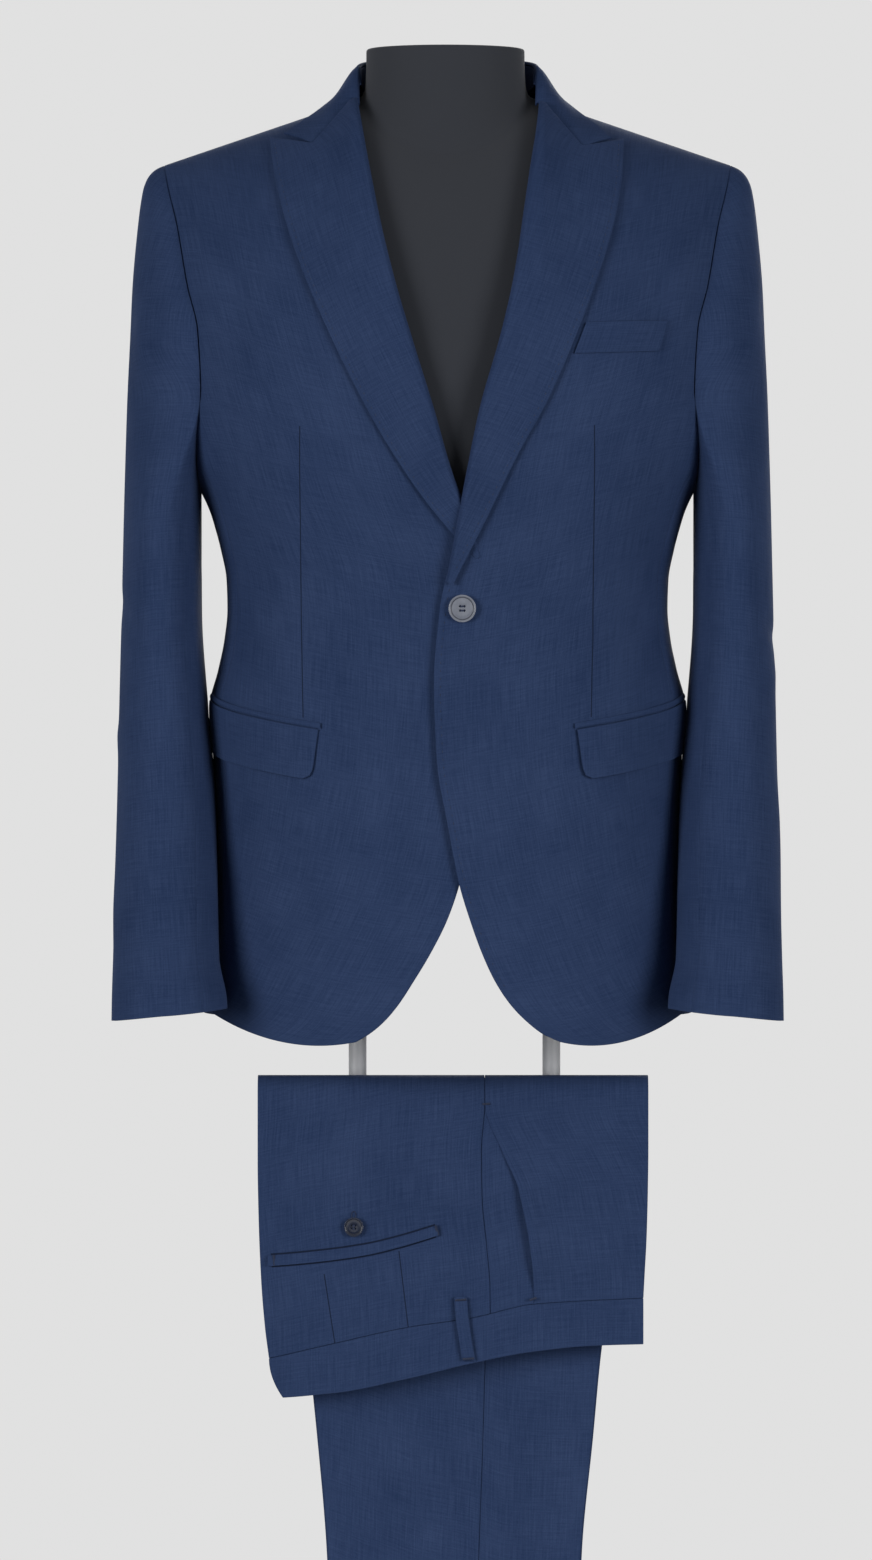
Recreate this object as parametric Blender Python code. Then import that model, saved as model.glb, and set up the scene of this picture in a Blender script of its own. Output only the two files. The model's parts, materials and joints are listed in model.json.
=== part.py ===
"""Two-piece business suit on a headless dress form, modelled in metres.

The jacket is worn by the form, with one button closed; the trousers hang folded
over a bar below it.  +Z is up, +Y points to the suit's back, and +X is the
wearer's left.  The origin is on the floor under the middle of the base plate.
"""

from collections import namedtuple
from math import acos, cos, pi, radians, sin

import bmesh
import bpy
from mathutils import Vector

# --------------------------------------------------------------- driving sizes
WALL = 0.0018            # jacket cloth with its canvas and lining
TROUSER_WALL = 0.0015    # trouser cloth
GAP = 0.0003             # between pieces that are sewn or lie on each other
LIFT = 0.0009            # between a panel and a larger piece that lies on it
COLLAR_LIFT = 0.0017     # between the collar's leaf and the body under it
EASE = 0.0004            # extra room where two curved walls pass
OVERLAP_DROP = 0.0062    # how far the under front lies behind the over front
ROUNDNESS = 2.4          # exponent of the body's oval sections
SHOULDER_ROUND = 1.8     # exponent of the curve that closes the shoulders
SLEEVE_ROUND = 2.3       # exponent of the sleeve's oval sections

SHOULDER_TIP = 0.2197    # half the width over the shoulder seams
SHOULDER_HEIGHT = 1.5608
SHOULDER_SLOPE = 0.34
NECK_HALF_WIDTH = 0.0725
RIDGE_Y = 0.010          # the shoulder seam lies a little behind the middle
BACK_NECK_HEIGHT = 1.605
UNDERARM_HEIGHT = 1.311
SLEEVE_NOTCH_HEIGHT = 1.380
ARMHOLE_X = 0.1895       # plane of the lower armhole

FRONT_SEAM = 0.95        # side seams, as a share of the body's half width
BACK_SEAM = 0.88
HEM_BACK = 0.906
VENT_APEX = 1.146
VENT_OPEN_LEFT = 0.053   # how far each side of the vent stands open at the hem
VENT_OPEN_RIGHT = 0.043

BUTTON_RADIUS = 0.0105
BUTTON_THICK = 0.0038

BAR_RADIUS = 0.0085
BAR_EASE = 0.0006        # between the bar and the cloth on it
FOLD_HEIGHT = 0.8554     # top of the trousers over the bar
INNER_LAYERS = 0.0040    # the two inner leg sides together
TROUSER_HEM = 0.035

FORM_BOTTOM = 1.030
FORM_TOP = 1.650
FORM_EASE = 0.014        # room between the form and the jacket
FORM_NECK = (0.0616, 0.0550)
FORM_NECK_CENTRE = (-0.0016, -0.004)
FORM_ARM_X = 0.182       # flat ends where the arms would start

POST_X = {"left": 0.081, "right": -0.070}
POST_Y = 0.046
POST_RADIUS = 0.007
BASE_SIZE = (0.42, 0.32, 0.008)
BASE_CORNER = 0.04
ARM_RADIUS = 0.004
ARM_HEIGHT = 0.6616      # where the arms pass beside the hanging legs
ARM_X = {"left": 0.1345, "right": -0.1275}

Section = namedtuple("Section", "height half_width front back")
BODY = (
    Section(0.880, 0.1905, 0.1310, 0.1420),
    Section(0.906, 0.1892, 0.1310, 0.1415),
    Section(0.948, 0.1860, 0.1305, 0.1400),
    Section(0.980, 0.1830, 0.1300, 0.1380),
    Section(1.014, 0.1808, 0.1285, 0.1345),
    Section(1.060, 0.1802, 0.1260, 0.1300),
    Section(1.100, 0.1815, 0.1225, 0.1230),
    Section(1.140, 0.1845, 0.1190, 0.1150),
    Section(1.170, 0.1775, 0.1160, 0.1070),
    Section(1.193, 0.1728, 0.1135, 0.1010),
    Section(1.216, 0.1705, 0.1120, 0.0975),
    Section(1.239, 0.1712, 0.1125, 0.0970),
    Section(1.262, 0.1755, 0.1145, 0.0990),
    Section(1.286, 0.1820, 0.1175, 0.1030),
    Section(1.309, 0.1892, 0.1205, 0.1080),
    Section(1.330, 0.1985, 0.1230, 0.1125),
    Section(1.380, 0.2145, 0.1265, 0.1195),
    Section(1.430, 0.2220, 0.1260, 0.1235),
    Section(1.500, 0.2280, 0.1225, 0.1230),
    Section(1.570, 0.2360, 0.1190, 0.1190),
    Section(1.640, 0.2400, 0.1170, 0.1170),
)

# Front edges: lapel roll line, button stand and cutaway, one row each level.
EdgeRow = namedtuple("EdgeRow", "height right left")
FRONT_EDGES = (
    EdgeRow(0.884, -0.0700, 0.0860),
    EdgeRow(0.890, -0.0600, 0.0730),
    EdgeRow(0.899, -0.0490, 0.0612),
    EdgeRow(0.912, -0.0378, 0.0485),
    EdgeRow(0.930, -0.0260, 0.0364),
    EdgeRow(0.952, -0.0128, 0.0261),
    EdgeRow(0.978, 0.0001, 0.0167),
    EdgeRow(1.004, 0.0090, 0.0089),
    EdgeRow(1.050, 0.0200, -0.0001),
    EdgeRow(1.100, 0.0280, -0.0084),
    EdgeRow(1.160, 0.0315, -0.0105),
    EdgeRow(1.215, 0.0315, -0.0060),
    EdgeRow(1.250, 0.0280, 0.0013),
    EdgeRow(1.280, 0.0185, 0.0070),
    EdgeRow(1.320, 0.0033, 0.0145),
    EdgeRow(1.370, -0.0111, 0.0249),
    EdgeRow(1.420, -0.0266, 0.0392),
    EdgeRow(1.460, -0.0385, 0.0487),
    EdgeRow(1.490, -0.0462, 0.0540),
    EdgeRow(1.515, -0.0519, 0.0575),
    EdgeRow(1.538, -0.0565, 0.0608),
    EdgeRow(1.560, -0.0607, 0.0641),
    EdgeRow(1.580, -0.0643, 0.0674),
    EdgeRow(1.595, -0.0669, 0.0694),
    EdgeRow(1.606, -0.0689, 0.0706),
    EdgeRow(1.614, -0.0708, 0.0715),
    EdgeRow(1.619, -0.0721, 0.0722),
    EdgeRow(1.6205, -0.0725, 0.0725),
)

ArmholeRow = namedtuple("ArmholeRow", "height x")
ARMHOLE = (
    ArmholeRow(1.309, 0.1895),
    ArmholeRow(1.380, 0.1895),
    ArmholeRow(1.430, 0.1920),
    ArmholeRow(1.464, 0.2000),
    ArmholeRow(1.514, 0.2090),
    ArmholeRow(1.540, 0.2155),
    ArmholeRow(1.5608, SHOULDER_TIP),
)

SleeveRow = namedtuple("SleeveRow", "height inner outer half_depth middle_y")
SLEEVE = (
    SleeveRow(0.900, 0.1682, 0.2573, 0.0465, -0.0985),
    SleeveRow(0.916, 0.1690, 0.2572, 0.0475, -0.0945),
    SleeveRow(0.948, 0.1772, 0.2567, 0.0500, -0.0790),
    SleeveRow(1.014, 0.1794, 0.2560, 0.0560, -0.0500),
    SleeveRow(1.068, 0.1822, 0.2551, 0.0600, -0.0290),
    SleeveRow(1.140, 0.1866, 0.2540, 0.0645, -0.0110),
    SleeveRow(1.216, 0.1902, 0.2523, 0.0680, -0.0030),
    SleeveRow(1.309, 0.1906, 0.2502, 0.0715, 0.0000),
    SleeveRow(1.380, 0.1904, 0.2480, 0.0700, -0.0019),
    SleeveRow(1.430, 0.1920, 0.2457, 0.0700, -0.0019),
    SleeveRow(1.464, 0.2000, 0.2443, 0.0700, -0.0019),
    SleeveRow(1.514, 0.2090, 0.2400, 0.0700, -0.0019),
    SleeveRow(1.541, 0.2155, 0.2356, 0.0700, -0.0019),
    SleeveRow(1.551, 0.2175, 0.2322, 0.0700, -0.0019),
    SleeveRow(1.5585, 0.2192, 0.2260, 0.0700, -0.0019),
)

# Lapels: the roll-line height of each row, and where the row ends outside.
LapelRow = namedtuple("LapelRow", "roll_height x height notch")
LAPELS = {
    "left": (
        LapelRow(1.236, 0.0040, 1.2330, 0.0),
        LapelRow(1.262, 0.0170, 1.2590, 0.0),
        LapelRow(1.290, 0.0320, 1.2890, 0.0),
        LapelRow(1.330, 0.0540, 1.3340, 0.0),
        LapelRow(1.375, 0.0780, 1.3780, 0.0),
        LapelRow(1.425, 0.0985, 1.4260, 0.0),
        LapelRow(1.475, 0.1150, 1.4700, 0.0),
        LapelRow(1.525, 0.1275, 1.5130, 0.10),
        LapelRow(1.570, 0.1335, 1.5480, 0.45),
        LapelRow(1.607, 0.1352, 1.5769, 1.0),
    ),
    "right": (
        LapelRow(1.256, 0.0215, 1.2530, 0.0),
        LapelRow(1.274, 0.0050, 1.2710, 0.0),
        LapelRow(1.300, -0.0195, 1.3010, 0.0),
        LapelRow(1.335, -0.0455, 1.3400, 0.0),
        LapelRow(1.375, -0.0690, 1.3820, 0.0),
        LapelRow(1.425, -0.0935, 1.4330, 0.0),
        LapelRow(1.475, -0.1118, 1.4760, 0.0),
        LapelRow(1.525, -0.1250, 1.5170, 0.10),
        LapelRow(1.572, -0.1330, 1.5520, 0.45),
        LapelRow(1.610, -0.1368, 1.5785, 1.0),
    ),
}
NOTCH_DEPTH = 0.0215

# Collar: the fold around the neck, and the outer edge of the leaf below it.
CollarRow = namedtuple("CollarRow", "turn fold_height outer_x outer_height notch")
COLLAR = (
    CollarRow(0.0, 1.6450, 0.0000, 1.5960, 0.0),
    CollarRow(24.0, 1.6447, 0.0330, 1.5975, 0.0),
    CollarRow(48.0, 1.6437, 0.0630, 1.6030, 0.0),
    CollarRow(70.0, 1.6410, 0.0810, 1.6100, 0.0),
    CollarRow(90.0, 1.6366, 0.0890, 1.6080, 0.0),
    CollarRow(104.0, 1.6300, 0.0980, 1.6000, 0.10),
    CollarRow(116.0, 1.6215, 0.1110, 1.5930, 0.40),
    CollarRow(128.0, 1.6125, 0.1270, 1.5845, 1.0),
)
COLLAR_FOLD = (0.0705, 0.0620, 0.0340)   # reach to the side, back and front

# Trousers: the part that hangs in front, upside down, and the legs behind.
FlapRow = namedtuple("FlapRow", "share right left seam mouth")
WAIST_PART = (
    FlapRow(0.00, -0.1383, 0.1515, 0.0330, 0.0335),
    FlapRow(0.12, -0.1414, 0.1525, 0.0328, 0.0333),
    FlapRow(0.30, -0.1443, 0.1540, 0.0305, 0.0325),
    FlapRow(0.54, -0.1462, 0.1550, 0.0268, 0.0287),
    FlapRow(0.75, -0.1469, 0.1554, 0.0262, 0.0155),
    FlapRow(0.97, -0.1469, 0.1554, 0.0288, 0.0),
    FlapRow(1.00, -0.1469, 0.1554, 0.0288, 0.0),
)
WaistRow = namedtuple("WaistRow", "x seam edge")
WAISTBAND = (
    WaistRow(-0.1400, 0.6362, 0.6062),
    WaistRow(-0.0870, 0.6485, 0.6100),
    WaistRow(-0.0300, 0.6609, 0.6212),
    WaistRow(0.0180, 0.6680, 0.6328),
    WaistRow(0.0660, 0.6787, 0.6420),
    WaistRow(0.1120, 0.6816, 0.6465),
    WaistRow(0.1560, 0.6835, 0.6478),
)
LegRow = namedtuple("LegRow", "height right left seam")
LEGS = (
    LegRow(0.8384, -0.1469, 0.1554, 0.0288),
    LegRow(0.7500, -0.1275, 0.1380, 0.0291),
    LegRow(0.6438, -0.1090, 0.1200, 0.0291),
    LegRow(0.5725, -0.1011, 0.1130, 0.0275),
    LegRow(0.4857, -0.0938, 0.1045, 0.0244),
    LegRow(0.3000, -0.0860, 0.0975, 0.0180),
    LegRow(0.1600, -0.0815, 0.0935, 0.0150),
    LegRow(TROUSER_HEM, -0.0785, 0.0905, 0.0120),
)

# sRGB-linear colours: cloth, form, posts, buttons
FINISHES = {
    "suit_cloth": ((0.028, 0.046, 0.105, 1.0), 0.85, 0.0),
    "form_cloth": ((0.030, 0.034, 0.045, 1.0), 0.90, 0.0),
    "pale_paint": ((0.720, 0.725, 0.735, 1.0), 0.45, 0.0),
    "horn_button": ((0.300, 0.320, 0.370, 1.0), 0.25, 0.0),
    "dark_button": ((0.010, 0.014, 0.028, 1.0), 0.30, 0.0),
}


# ------------------------------------------------------------- mathematics
def smooth(knots):
    """Return a function through (place, value) knots that never overshoots."""
    places = [k[0] for k in knots]
    values = [k[1] for k in knots]
    steps = [b - a for a, b in zip(places, places[1:])]
    rates = [(b - a) / h for a, b, h in zip(values, values[1:], steps)]
    slopes = [rates[0]]
    for before, after in zip(rates, rates[1:]):
        slopes.append(0.0 if before * after <= 0 else 2 * before * after / (before + after))
    slopes.append(rates[-1])

    def value(place):
        place = min(max(place, places[0]), places[-1])
        i = 0
        while i < len(steps) - 1 and place > places[i + 1]:
            i += 1
        h = steps[i]
        u = (place - places[i]) / h
        return (values[i] * (1 + 2 * u) * (1 - u) ** 2 + slopes[i] * h * u * (1 - u) ** 2
                + values[i + 1] * u * u * (3 - 2 * u) + slopes[i + 1] * h * u * u * (u - 1))

    return value


def column(table, key, name):
    """Return a smooth function of one named column of a table over another."""
    rows = sorted(table, key=lambda row: getattr(row, key))
    return smooth([(getattr(row, key), getattr(row, name)) for row in rows])


def rows_between(table, count):
    """Return count + 1 rows read smoothly along a table, first to last."""
    row_type = type(table[0])
    places = [i / (len(table) - 1) for i in range(len(table))]
    readers = [smooth(list(zip(places, values))) for values in zip(*table)]
    return [row_type(*(read(share) for read in readers)) for share in steps(count)]


def mix(a, b, share):
    """Return the value that lies share of the way from a to b."""
    return a + (b - a) * share


def ramp(value, start, end):
    """Return 0 before start and 1 after end, with an even curve between."""
    u = min(max((value - start) / (end - start), 0.0), 1.0)
    return u * u * (3 - 2 * u)


def power(base, exponent):
    """Return base to a power, keeping the sign of base."""
    return abs(base) ** exponent * (1 if base >= 0 else -1)


half_width = column(BODY, "height", "half_width")
front_depth = column(BODY, "height", "front")
back_depth = column(BODY, "height", "back")
armhole_x = column(ARMHOLE, "height", "x")
edge_x = {side: column(FRONT_EDGES, "height", side) for side in ("left", "right")}
sleeve_inner = column(SLEEVE, "height", "inner")
sleeve_outer = column(SLEEVE, "height", "outer")
sleeve_depth = column(SLEEVE, "height", "half_depth")
sleeve_middle = column(SLEEVE, "height", "middle_y")
waist_seam = column(WAISTBAND, "x", "seam")
waist_edge = column(WAISTBAND, "x", "edge")
SIGN = {"left": 1, "right": -1}


# ------------------------------------------------------------- body surface
def ridge(x):
    """Return the height of the shoulder line at a distance from the middle."""
    x = min(max(abs(x), NECK_HALF_WIDTH), 0.25)
    rise = 0.009 * (max(0.110 - x, 0.0) / 0.035) ** 2
    return SHOULDER_HEIGHT + SHOULDER_SLOPE * (SHOULDER_TIP - x) + rise


def rounding(x, back):
    """Return the height over which the shoulder curves down to the body."""
    inward = min(max((SHOULDER_TIP - abs(x)) / 0.145, 0.0), 1.0)
    return 0.13 + (0.01 if back else 0.07) * inward


def closing(drop, reach):
    """Return the share of the full depth at a drop below the shoulder line."""
    share = min(max(drop / reach, 0.0), 1.0)
    return max(1 - (1 - share) ** SHOULDER_ROUND, 0.0) ** (1 / SHOULDER_ROUND)


def body_y(x, z, back, ease=0.0):
    """Return y of the body surface over a point of the front elevation."""
    depth = (back_depth(z) if back else front_depth(z)) - ease
    across = min(abs(x) / (half_width(z) - ease), 1.0)
    oval = (1 - across ** ROUNDNESS) ** (1 / ROUNDNESS)
    close = closing(ridge(x) - z, rounding(x, back))
    middle = RIDGE_Y * ramp(z, 1.36, 1.50)
    return middle + (depth - (middle if back else -middle)) * oval * close * (1 if back else -1)


def elevation_point(x, z, back=False, drop=0.0):
    """Return a point of the body surface above a point of the elevation."""
    return Vector((x, body_y(x, z, back) + drop, z))


def elevation_normal(x, z, back=False):
    """Return the outward direction of the body surface there."""
    step = 0.0006
    if ridge(x) - z < 2 * step:
        slope = (ridge(abs(x) + step) - ridge(abs(x) - step)) / (2 * step)
        return Vector((-slope * (1 if x > 0 else -1), 0.0, 1.0)).normalized()
    along_x = elevation_point(x + step, z, back) - elevation_point(x - step, z, back)
    along_z = elevation_point(x, z + step, back) - elevation_point(x, z - step, back)
    normal = along_x.cross(along_z).normalized()
    return -normal if back else normal


def side_point(sign, turn, z):
    """Return a body point by its turn from the side, front < 0 < back."""
    depth = back_depth(z) if turn > 0 else front_depth(z)
    return Vector((sign * half_width(z) * power(cos(turn), 2 / ROUNDNESS),
                   depth * power(sin(turn), 2 / ROUNDNESS), z))


def side_normal(sign, turn, z):
    """Return the outward direction at a body point given by its turn."""
    step = 0.002
    around = side_point(sign, turn + step, z) - side_point(sign, turn - step, z)
    upward = side_point(sign, turn, z + step) - side_point(sign, turn, z - step)
    return (around.cross(upward) * sign).normalized()


def turn_of(share):
    """Return the turn from the side at a share of the half width."""
    return acos(share ** (ROUNDNESS / 2))


def under_drop(side, x):
    """Return how far the under front is set back to pass behind the other."""
    return OVERLAP_DROP * ramp(x, -0.060, -0.012) if side == "right" else 0.0


# ------------------------------------------------------------- mesh helpers
def new_object(name, mesh, finish, parent=None):
    """Link a mesh as a named object with its own material."""
    colour, roughness, metallic = FINISHES[finish]
    material = bpy.data.materials.new(name + "_finish")
    material.use_nodes = True
    shader = material.node_tree.nodes["Principled BSDF"]
    shader.inputs["Base Color"].default_value = colour
    shader.inputs["Roughness"].default_value = roughness
    shader.inputs["Metallic"].default_value = metallic
    mesh.materials.append(material)
    obj = bpy.data.objects.new(name, mesh)
    obj.parent = parent
    bpy.context.scene.collection.objects.link(obj)
    return obj


def finish_mesh(name, verts, faces, flat=False):
    """Build a closed mesh from points and faces, with its faces outward."""
    bm = bmesh.new()
    points = [bm.verts.new(v) for v in verts]
    for face in faces:
        bm.faces.new([points[i] for i in face])
    bmesh.ops.recalc_face_normals(bm, faces=bm.faces)
    if bm.calc_volume(signed=True) < 0:
        bmesh.ops.reverse_faces(bm, faces=bm.faces)
    mesh = bpy.data.meshes.new(name)
    bm.to_mesh(mesh)
    bm.free()
    if not flat:
        mesh.shade_smooth()
        mesh.set_sharp_from_angle(angle=radians(40))
    return mesh


def wall_mesh(name, outer, inner):
    """Close two matching grids of points into one wall."""
    rows, cols = len(outer), len(outer[0])
    verts = [p for row in outer for p in row] + [p for row in inner for p in row]
    offset = rows * cols

    def at(i, j, side=0):
        return side * offset + i * cols + j

    faces = []
    for i in range(rows - 1):
        for j in range(cols - 1):
            faces.append((at(i, j), at(i, j + 1), at(i + 1, j + 1), at(i + 1, j)))
            faces.append((at(i, j, 1), at(i + 1, j, 1), at(i + 1, j + 1, 1), at(i, j + 1, 1)))
    rim = ([(0, j) for j in range(cols)] + [(i, cols - 1) for i in range(1, rows)]
           + [(rows - 1, j) for j in range(cols - 2, -1, -1)] + [(i, 0) for i in range(rows - 2, 0, -1)])
    for (i, j), (k, m) in zip(rim, rim[1:] + rim[:1]):
        faces.append((at(i, j), at(i, j, 1), at(k, m, 1), at(k, m)))
    return finish_mesh(name, verts, faces)


def steps(count):
    """Return count + 1 even shares from 0 to 1."""
    return [i / count for i in range(count + 1)]


def clamp_x(point, least, side):
    """Keep a point on its own side of the middle."""
    x = max(point.x, least) if side == "left" else min(point.x, -least)
    return Vector((x, point.y, point.z))


# ------------------------------------------------------------- jacket body
def outer_edge(seam, z):
    """Return x of a panel's outer edge: its side seam, then the armhole."""
    reach = seam * half_width(z)
    return reach if z < UNDERARM_HEIGHT or (reach < ARMHOLE_X and z < 1.40) else armhole_x(z)


def front_place(side, row, share):
    """Return (x, z) of the front panel at an edge row and a share outward."""
    sign = SIGN[side]
    z_in = row.height
    z_out = mix(0.9035, SHOULDER_HEIGHT, (z_in - 0.884) / (1.6205 - 0.884))
    x_in = getattr(row, side)
    x_out = sign * (outer_edge(FRONT_SEAM, z_out) - 0.5 * GAP)
    x = mix(x_in, x_out, share)
    z = mix(z_in, z_out, share)
    bow = 0.0105 * (1 - ramp(z_in, 0.884, 0.97))
    curve = ridge(x) - mix(ridge(x_in), ridge(x_out), share)
    return x, z - bow * 4 * share * (1 - share) + curve * ramp(z_in, 1.30, 1.6205)


def build_front(side):
    """Front panel from cutaway and hem to the shoulder seam."""
    outer, inner = [], []
    for row in FRONT_EDGES:
        outer_row, inner_row = [], []
        for share in steps(11):
            x, z = front_place(side, row, share)
            z = min(z, ridge(x))
            point = elevation_point(x, z, drop=under_drop(side, x))
            normal = elevation_normal(x, z)
            for points, place in ((outer_row, point), (inner_row, point - normal * WALL)):
                place.y = min(place.y, RIDGE_Y - 0.5 * GAP) if row.height > 1.5 else place.y
                points.append(place)
        outer.append(outer_row)
        inner.append(inner_row)
    name = "jacket_front_" + side
    return new_object(name, wall_mesh(name, outer, inner), "suit_cloth")


def armhole_bottom(turn):
    """Return the height at which a turn of the body meets the armhole."""
    low, high = 1.300, 1.395
    for _ in range(30):
        middle = 0.5 * (low + high)
        reach = half_width(middle) * cos(turn) ** (2 / ROUNDNESS)
        low, high = (middle, high) if reach < ARMHOLE_X - EASE else (low, middle)
    return low


def build_side_panel(side):
    """Panel under the arm, between the front and the back."""
    sign = SIGN[side]
    levels = (0.0, 0.09, 0.20, 0.33, 0.46, 0.56, 0.63, 0.70, 0.77, 0.84, 0.90, 0.95, 1.0)
    start, end = -turn_of(FRONT_SEAM) + 0.0025, turn_of(BACK_SEAM) - 0.0055
    outer, inner = [], []
    for level in levels:
        outer_row, inner_row = [], []
        for share in steps(6):
            turn = mix(start, end, share)
            z = mix(mix(0.9035, HEM_BACK, share), armhole_bottom(turn), level)
            point = side_point(sign, turn, z)
            outer_row.append(point)
            inner_row.append(point - side_normal(sign, turn, z) * WALL)
        outer.append(outer_row)
        inner.append(inner_row)
    name = "jacket_side_" + side
    return new_object(name, wall_mesh(name, outer, inner), "suit_cloth")


def vent_x(side, z):
    """Return how far the back panel's inner edge is from the middle."""
    opening = VENT_OPEN_LEFT if side == "left" else VENT_OPEN_RIGHT
    return 0.5 * GAP + opening * max((VENT_APEX - z) / (VENT_APEX - HEM_BACK), 0.0)


def back_top(x):
    """Return the height of the back's top edge: neck seam, then shoulder."""
    if abs(x) < NECK_HALF_WIDTH:
        return mix(BACK_NECK_HEIGHT, ridge(x), (abs(x) / NECK_HALF_WIDTH) ** 2)
    return ridge(x)


def build_back(side):
    """Back panel from the hem with its open vent to neck and shoulder."""
    sign = SIGN[side]
    levels = (0.0, 0.05, 0.11, 0.18, 0.26, 0.344, 0.42, 0.50, 0.58, 0.65, 0.71, 0.765,
              0.81, 0.85, 0.885, 0.915, 0.942, 0.965, 0.983, 0.9935, 0.9985, 1.0)
    outer, inner = [], []
    for level in levels:
        outer_row, inner_row = [], []
        z_in = mix(HEM_BACK, BACK_NECK_HEIGHT, level)
        z_out = mix(HEM_BACK, SHOULDER_HEIGHT, level)
        x_in = sign * vent_x(side, z_in)
        x_out = sign * (outer_edge(BACK_SEAM, z_out) - 0.5 * GAP)
        for share in steps(9):
            x = mix(x_in, x_out, share)
            bend = back_top(x) - mix(back_top(x_in), back_top(x_out), share)
            z = mix(z_in, z_out, share) + bend * ramp(level, 0.70, 1.0)
            z = min(z, back_top(x))
            point = elevation_point(x, z, back=True)
            normal = elevation_normal(x, z, back=True)
            for points, place in ((outer_row, point), (inner_row, point - normal * WALL)):
                place = clamp_x(place, 0.5 * GAP, side)
                place.y = max(place.y, RIDGE_Y + 0.5 * GAP) if level > 0.9 else place.y
                points.append(place)
        outer.append(outer_row)
        inner.append(inner_row)
    name = "jacket_back_" + side
    return new_object(name, wall_mesh(name, outer, inner), "suit_cloth")


# ------------------------------------------------------------- lapels, collar
def build_lapel(side):
    """Lapel turned back on its front, up to the peak and the gorge seam."""
    outer, inner = [], []
    for row in rows_between(LAPELS[side], 16):
        outer_row, inner_row = [], []
        x_in = edge_x[side](row.roll_height)
        for share in steps(6):
            x = mix(x_in, row.x, share)
            z = mix(row.roll_height, row.height, share)
            z -= NOTCH_DEPTH * row.notch * (1 - abs(2 * share - 1))
            base = elevation_point(x, z, drop=under_drop(side, x))
            normal = elevation_normal(x, z)
            lift = LIFT + 0.0005 * ramp(z, 1.40, 1.50)
            outer_row.append(base + normal * (lift + WALL))
            inner_row.append(base + normal * lift)
        outer.append(outer_row)
        inner.append(inner_row)
    name = "jacket_lapel_" + side
    return new_object(name, wall_mesh(name, outer, inner), "suit_cloth")


def collar_fold(turn):
    """Return x and y of the collar's fold, turning from the back's middle."""
    angle = radians(turn)
    x, back, front = COLLAR_FOLD
    return x * sin(min(angle, pi / 2)), (back if angle < pi / 2 else front) * cos(angle)


def collar_outer(row, sign, lift):
    """Return the leaf's outer edge, which lies on the body."""
    x = sign * row.outer_x
    back = row.turn < 90
    z = min(row.outer_height, ridge(x))
    return elevation_point(x, z, back) + elevation_normal(x, z, back) * lift


def off_body(point, thick, back):
    """Move a collar point out until its wall clears the body below it."""
    if point.z > ridge(point.x) - 0.0008:
        return point, thick
    base = elevation_point(point.x, point.z, back)
    normal = elevation_normal(point.x, point.z, back)
    if (point - base).dot(normal) < COLLAR_LIFT + WALL + EASE:
        return base + normal * (COLLAR_LIFT + WALL), normal
    return point, thick


def build_collar():
    """Collar leaf that falls from the fold, and the stand inside it."""
    half = rows_between(COLLAR, 12)
    rows = [(row, -1) for row in reversed(half)] + [(row, 1) for row in half[1:]]
    leaf_outer, leaf_inner = [], []
    stand_outer, stand_inner = [], []
    for row, sign in rows:
        x, y = collar_fold(row.turn)
        fold = Vector((sign * x, y, row.fold_height))
        edge = collar_outer(row, sign, COLLAR_LIFT + WALL)
        away = Vector((fold.x, fold.y, 0.0)).normalized()
        outer_row, inner_row = [], []
        for share in steps(4):
            point = fold.lerp(edge, share)
            point += away * 0.0035 * sin(pi * share) * (1 - row.notch)
            point.z -= NOTCH_DEPTH * row.notch * (1 - abs(2 * share - 1))
            thick = (edge - fold).cross(Vector((-away.y, away.x, 0.0))).normalized()
            thick = thick if thick.dot(away) > 0 else -thick
            point, thick = off_body(point, thick, row.turn < 90)
            outer_row.append(point)
            inner_row.append(point - thick * WALL)
        leaf_outer.append(outer_row)
        leaf_inner.append(inner_row)
        if row.turn <= 104:
            bottom = back_top(fold.x) if row.turn < 90 else ridge(fold.x)
            foot = max(bottom, BACK_NECK_HEIGHT) + 2 * GAP
            inside = fold - away * (WALL + 2 * GAP)
            stand_outer.append([Vector((inside.x, inside.y, mix(foot, fold.z - GAP, share)))
                                for share in steps(2)])
            stand_inner.append([point - away * WALL for point in stand_outer[-1]])
    new_object("collar_leaf", wall_mesh("collar_leaf", leaf_outer, leaf_inner), "suit_cloth")
    return new_object("collar_stand", wall_mesh("collar_stand", stand_outer, stand_inner), "suit_cloth")


# ------------------------------------------------------------- sleeves
def sleeve_start(z):
    """Return x of the sleeve's two long seams at a height."""
    centre = 0.5 * (sleeve_inner(z) + sleeve_outer(z))
    return mix(centre, armhole_x(z) + 2 * GAP, ramp(z, UNDERARM_HEIGHT - 0.03, SLEEVE_NOTCH_HEIGHT))


def sleeve_ends(z):
    """Return y of the sleeve's front and back at a height."""
    front, back = sleeve_middle(z) - sleeve_depth(z), sleeve_middle(z) + sleeve_depth(z)
    if z > SLEEVE_NOTCH_HEIGHT - 0.02:
        x = armhole_x(z)
        share = ramp(z, SLEEVE_NOTCH_HEIGHT - 0.02, SLEEVE_NOTCH_HEIGHT)
        front = mix(front, body_y(x, z, False), share)
        back = mix(back, body_y(x, z, True), share)
    return front, back


def sleeve_point(sign, turn, z):
    """Return a sleeve point; turn 0 is outside, pi inside, front < 0."""
    start = sleeve_start(z)
    front, back = sleeve_ends(z)
    reach = sleeve_outer(z) - start if abs(turn) <= pi / 2 else start - sleeve_inner(z)
    x = start + reach * power(cos(turn), 2 / SLEEVE_ROUND)
    y = 0.5 * (front + back) + 0.5 * (back - front) * power(sin(turn), 2 / SLEEVE_ROUND)
    return Vector((sign * x, y, z))


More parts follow.
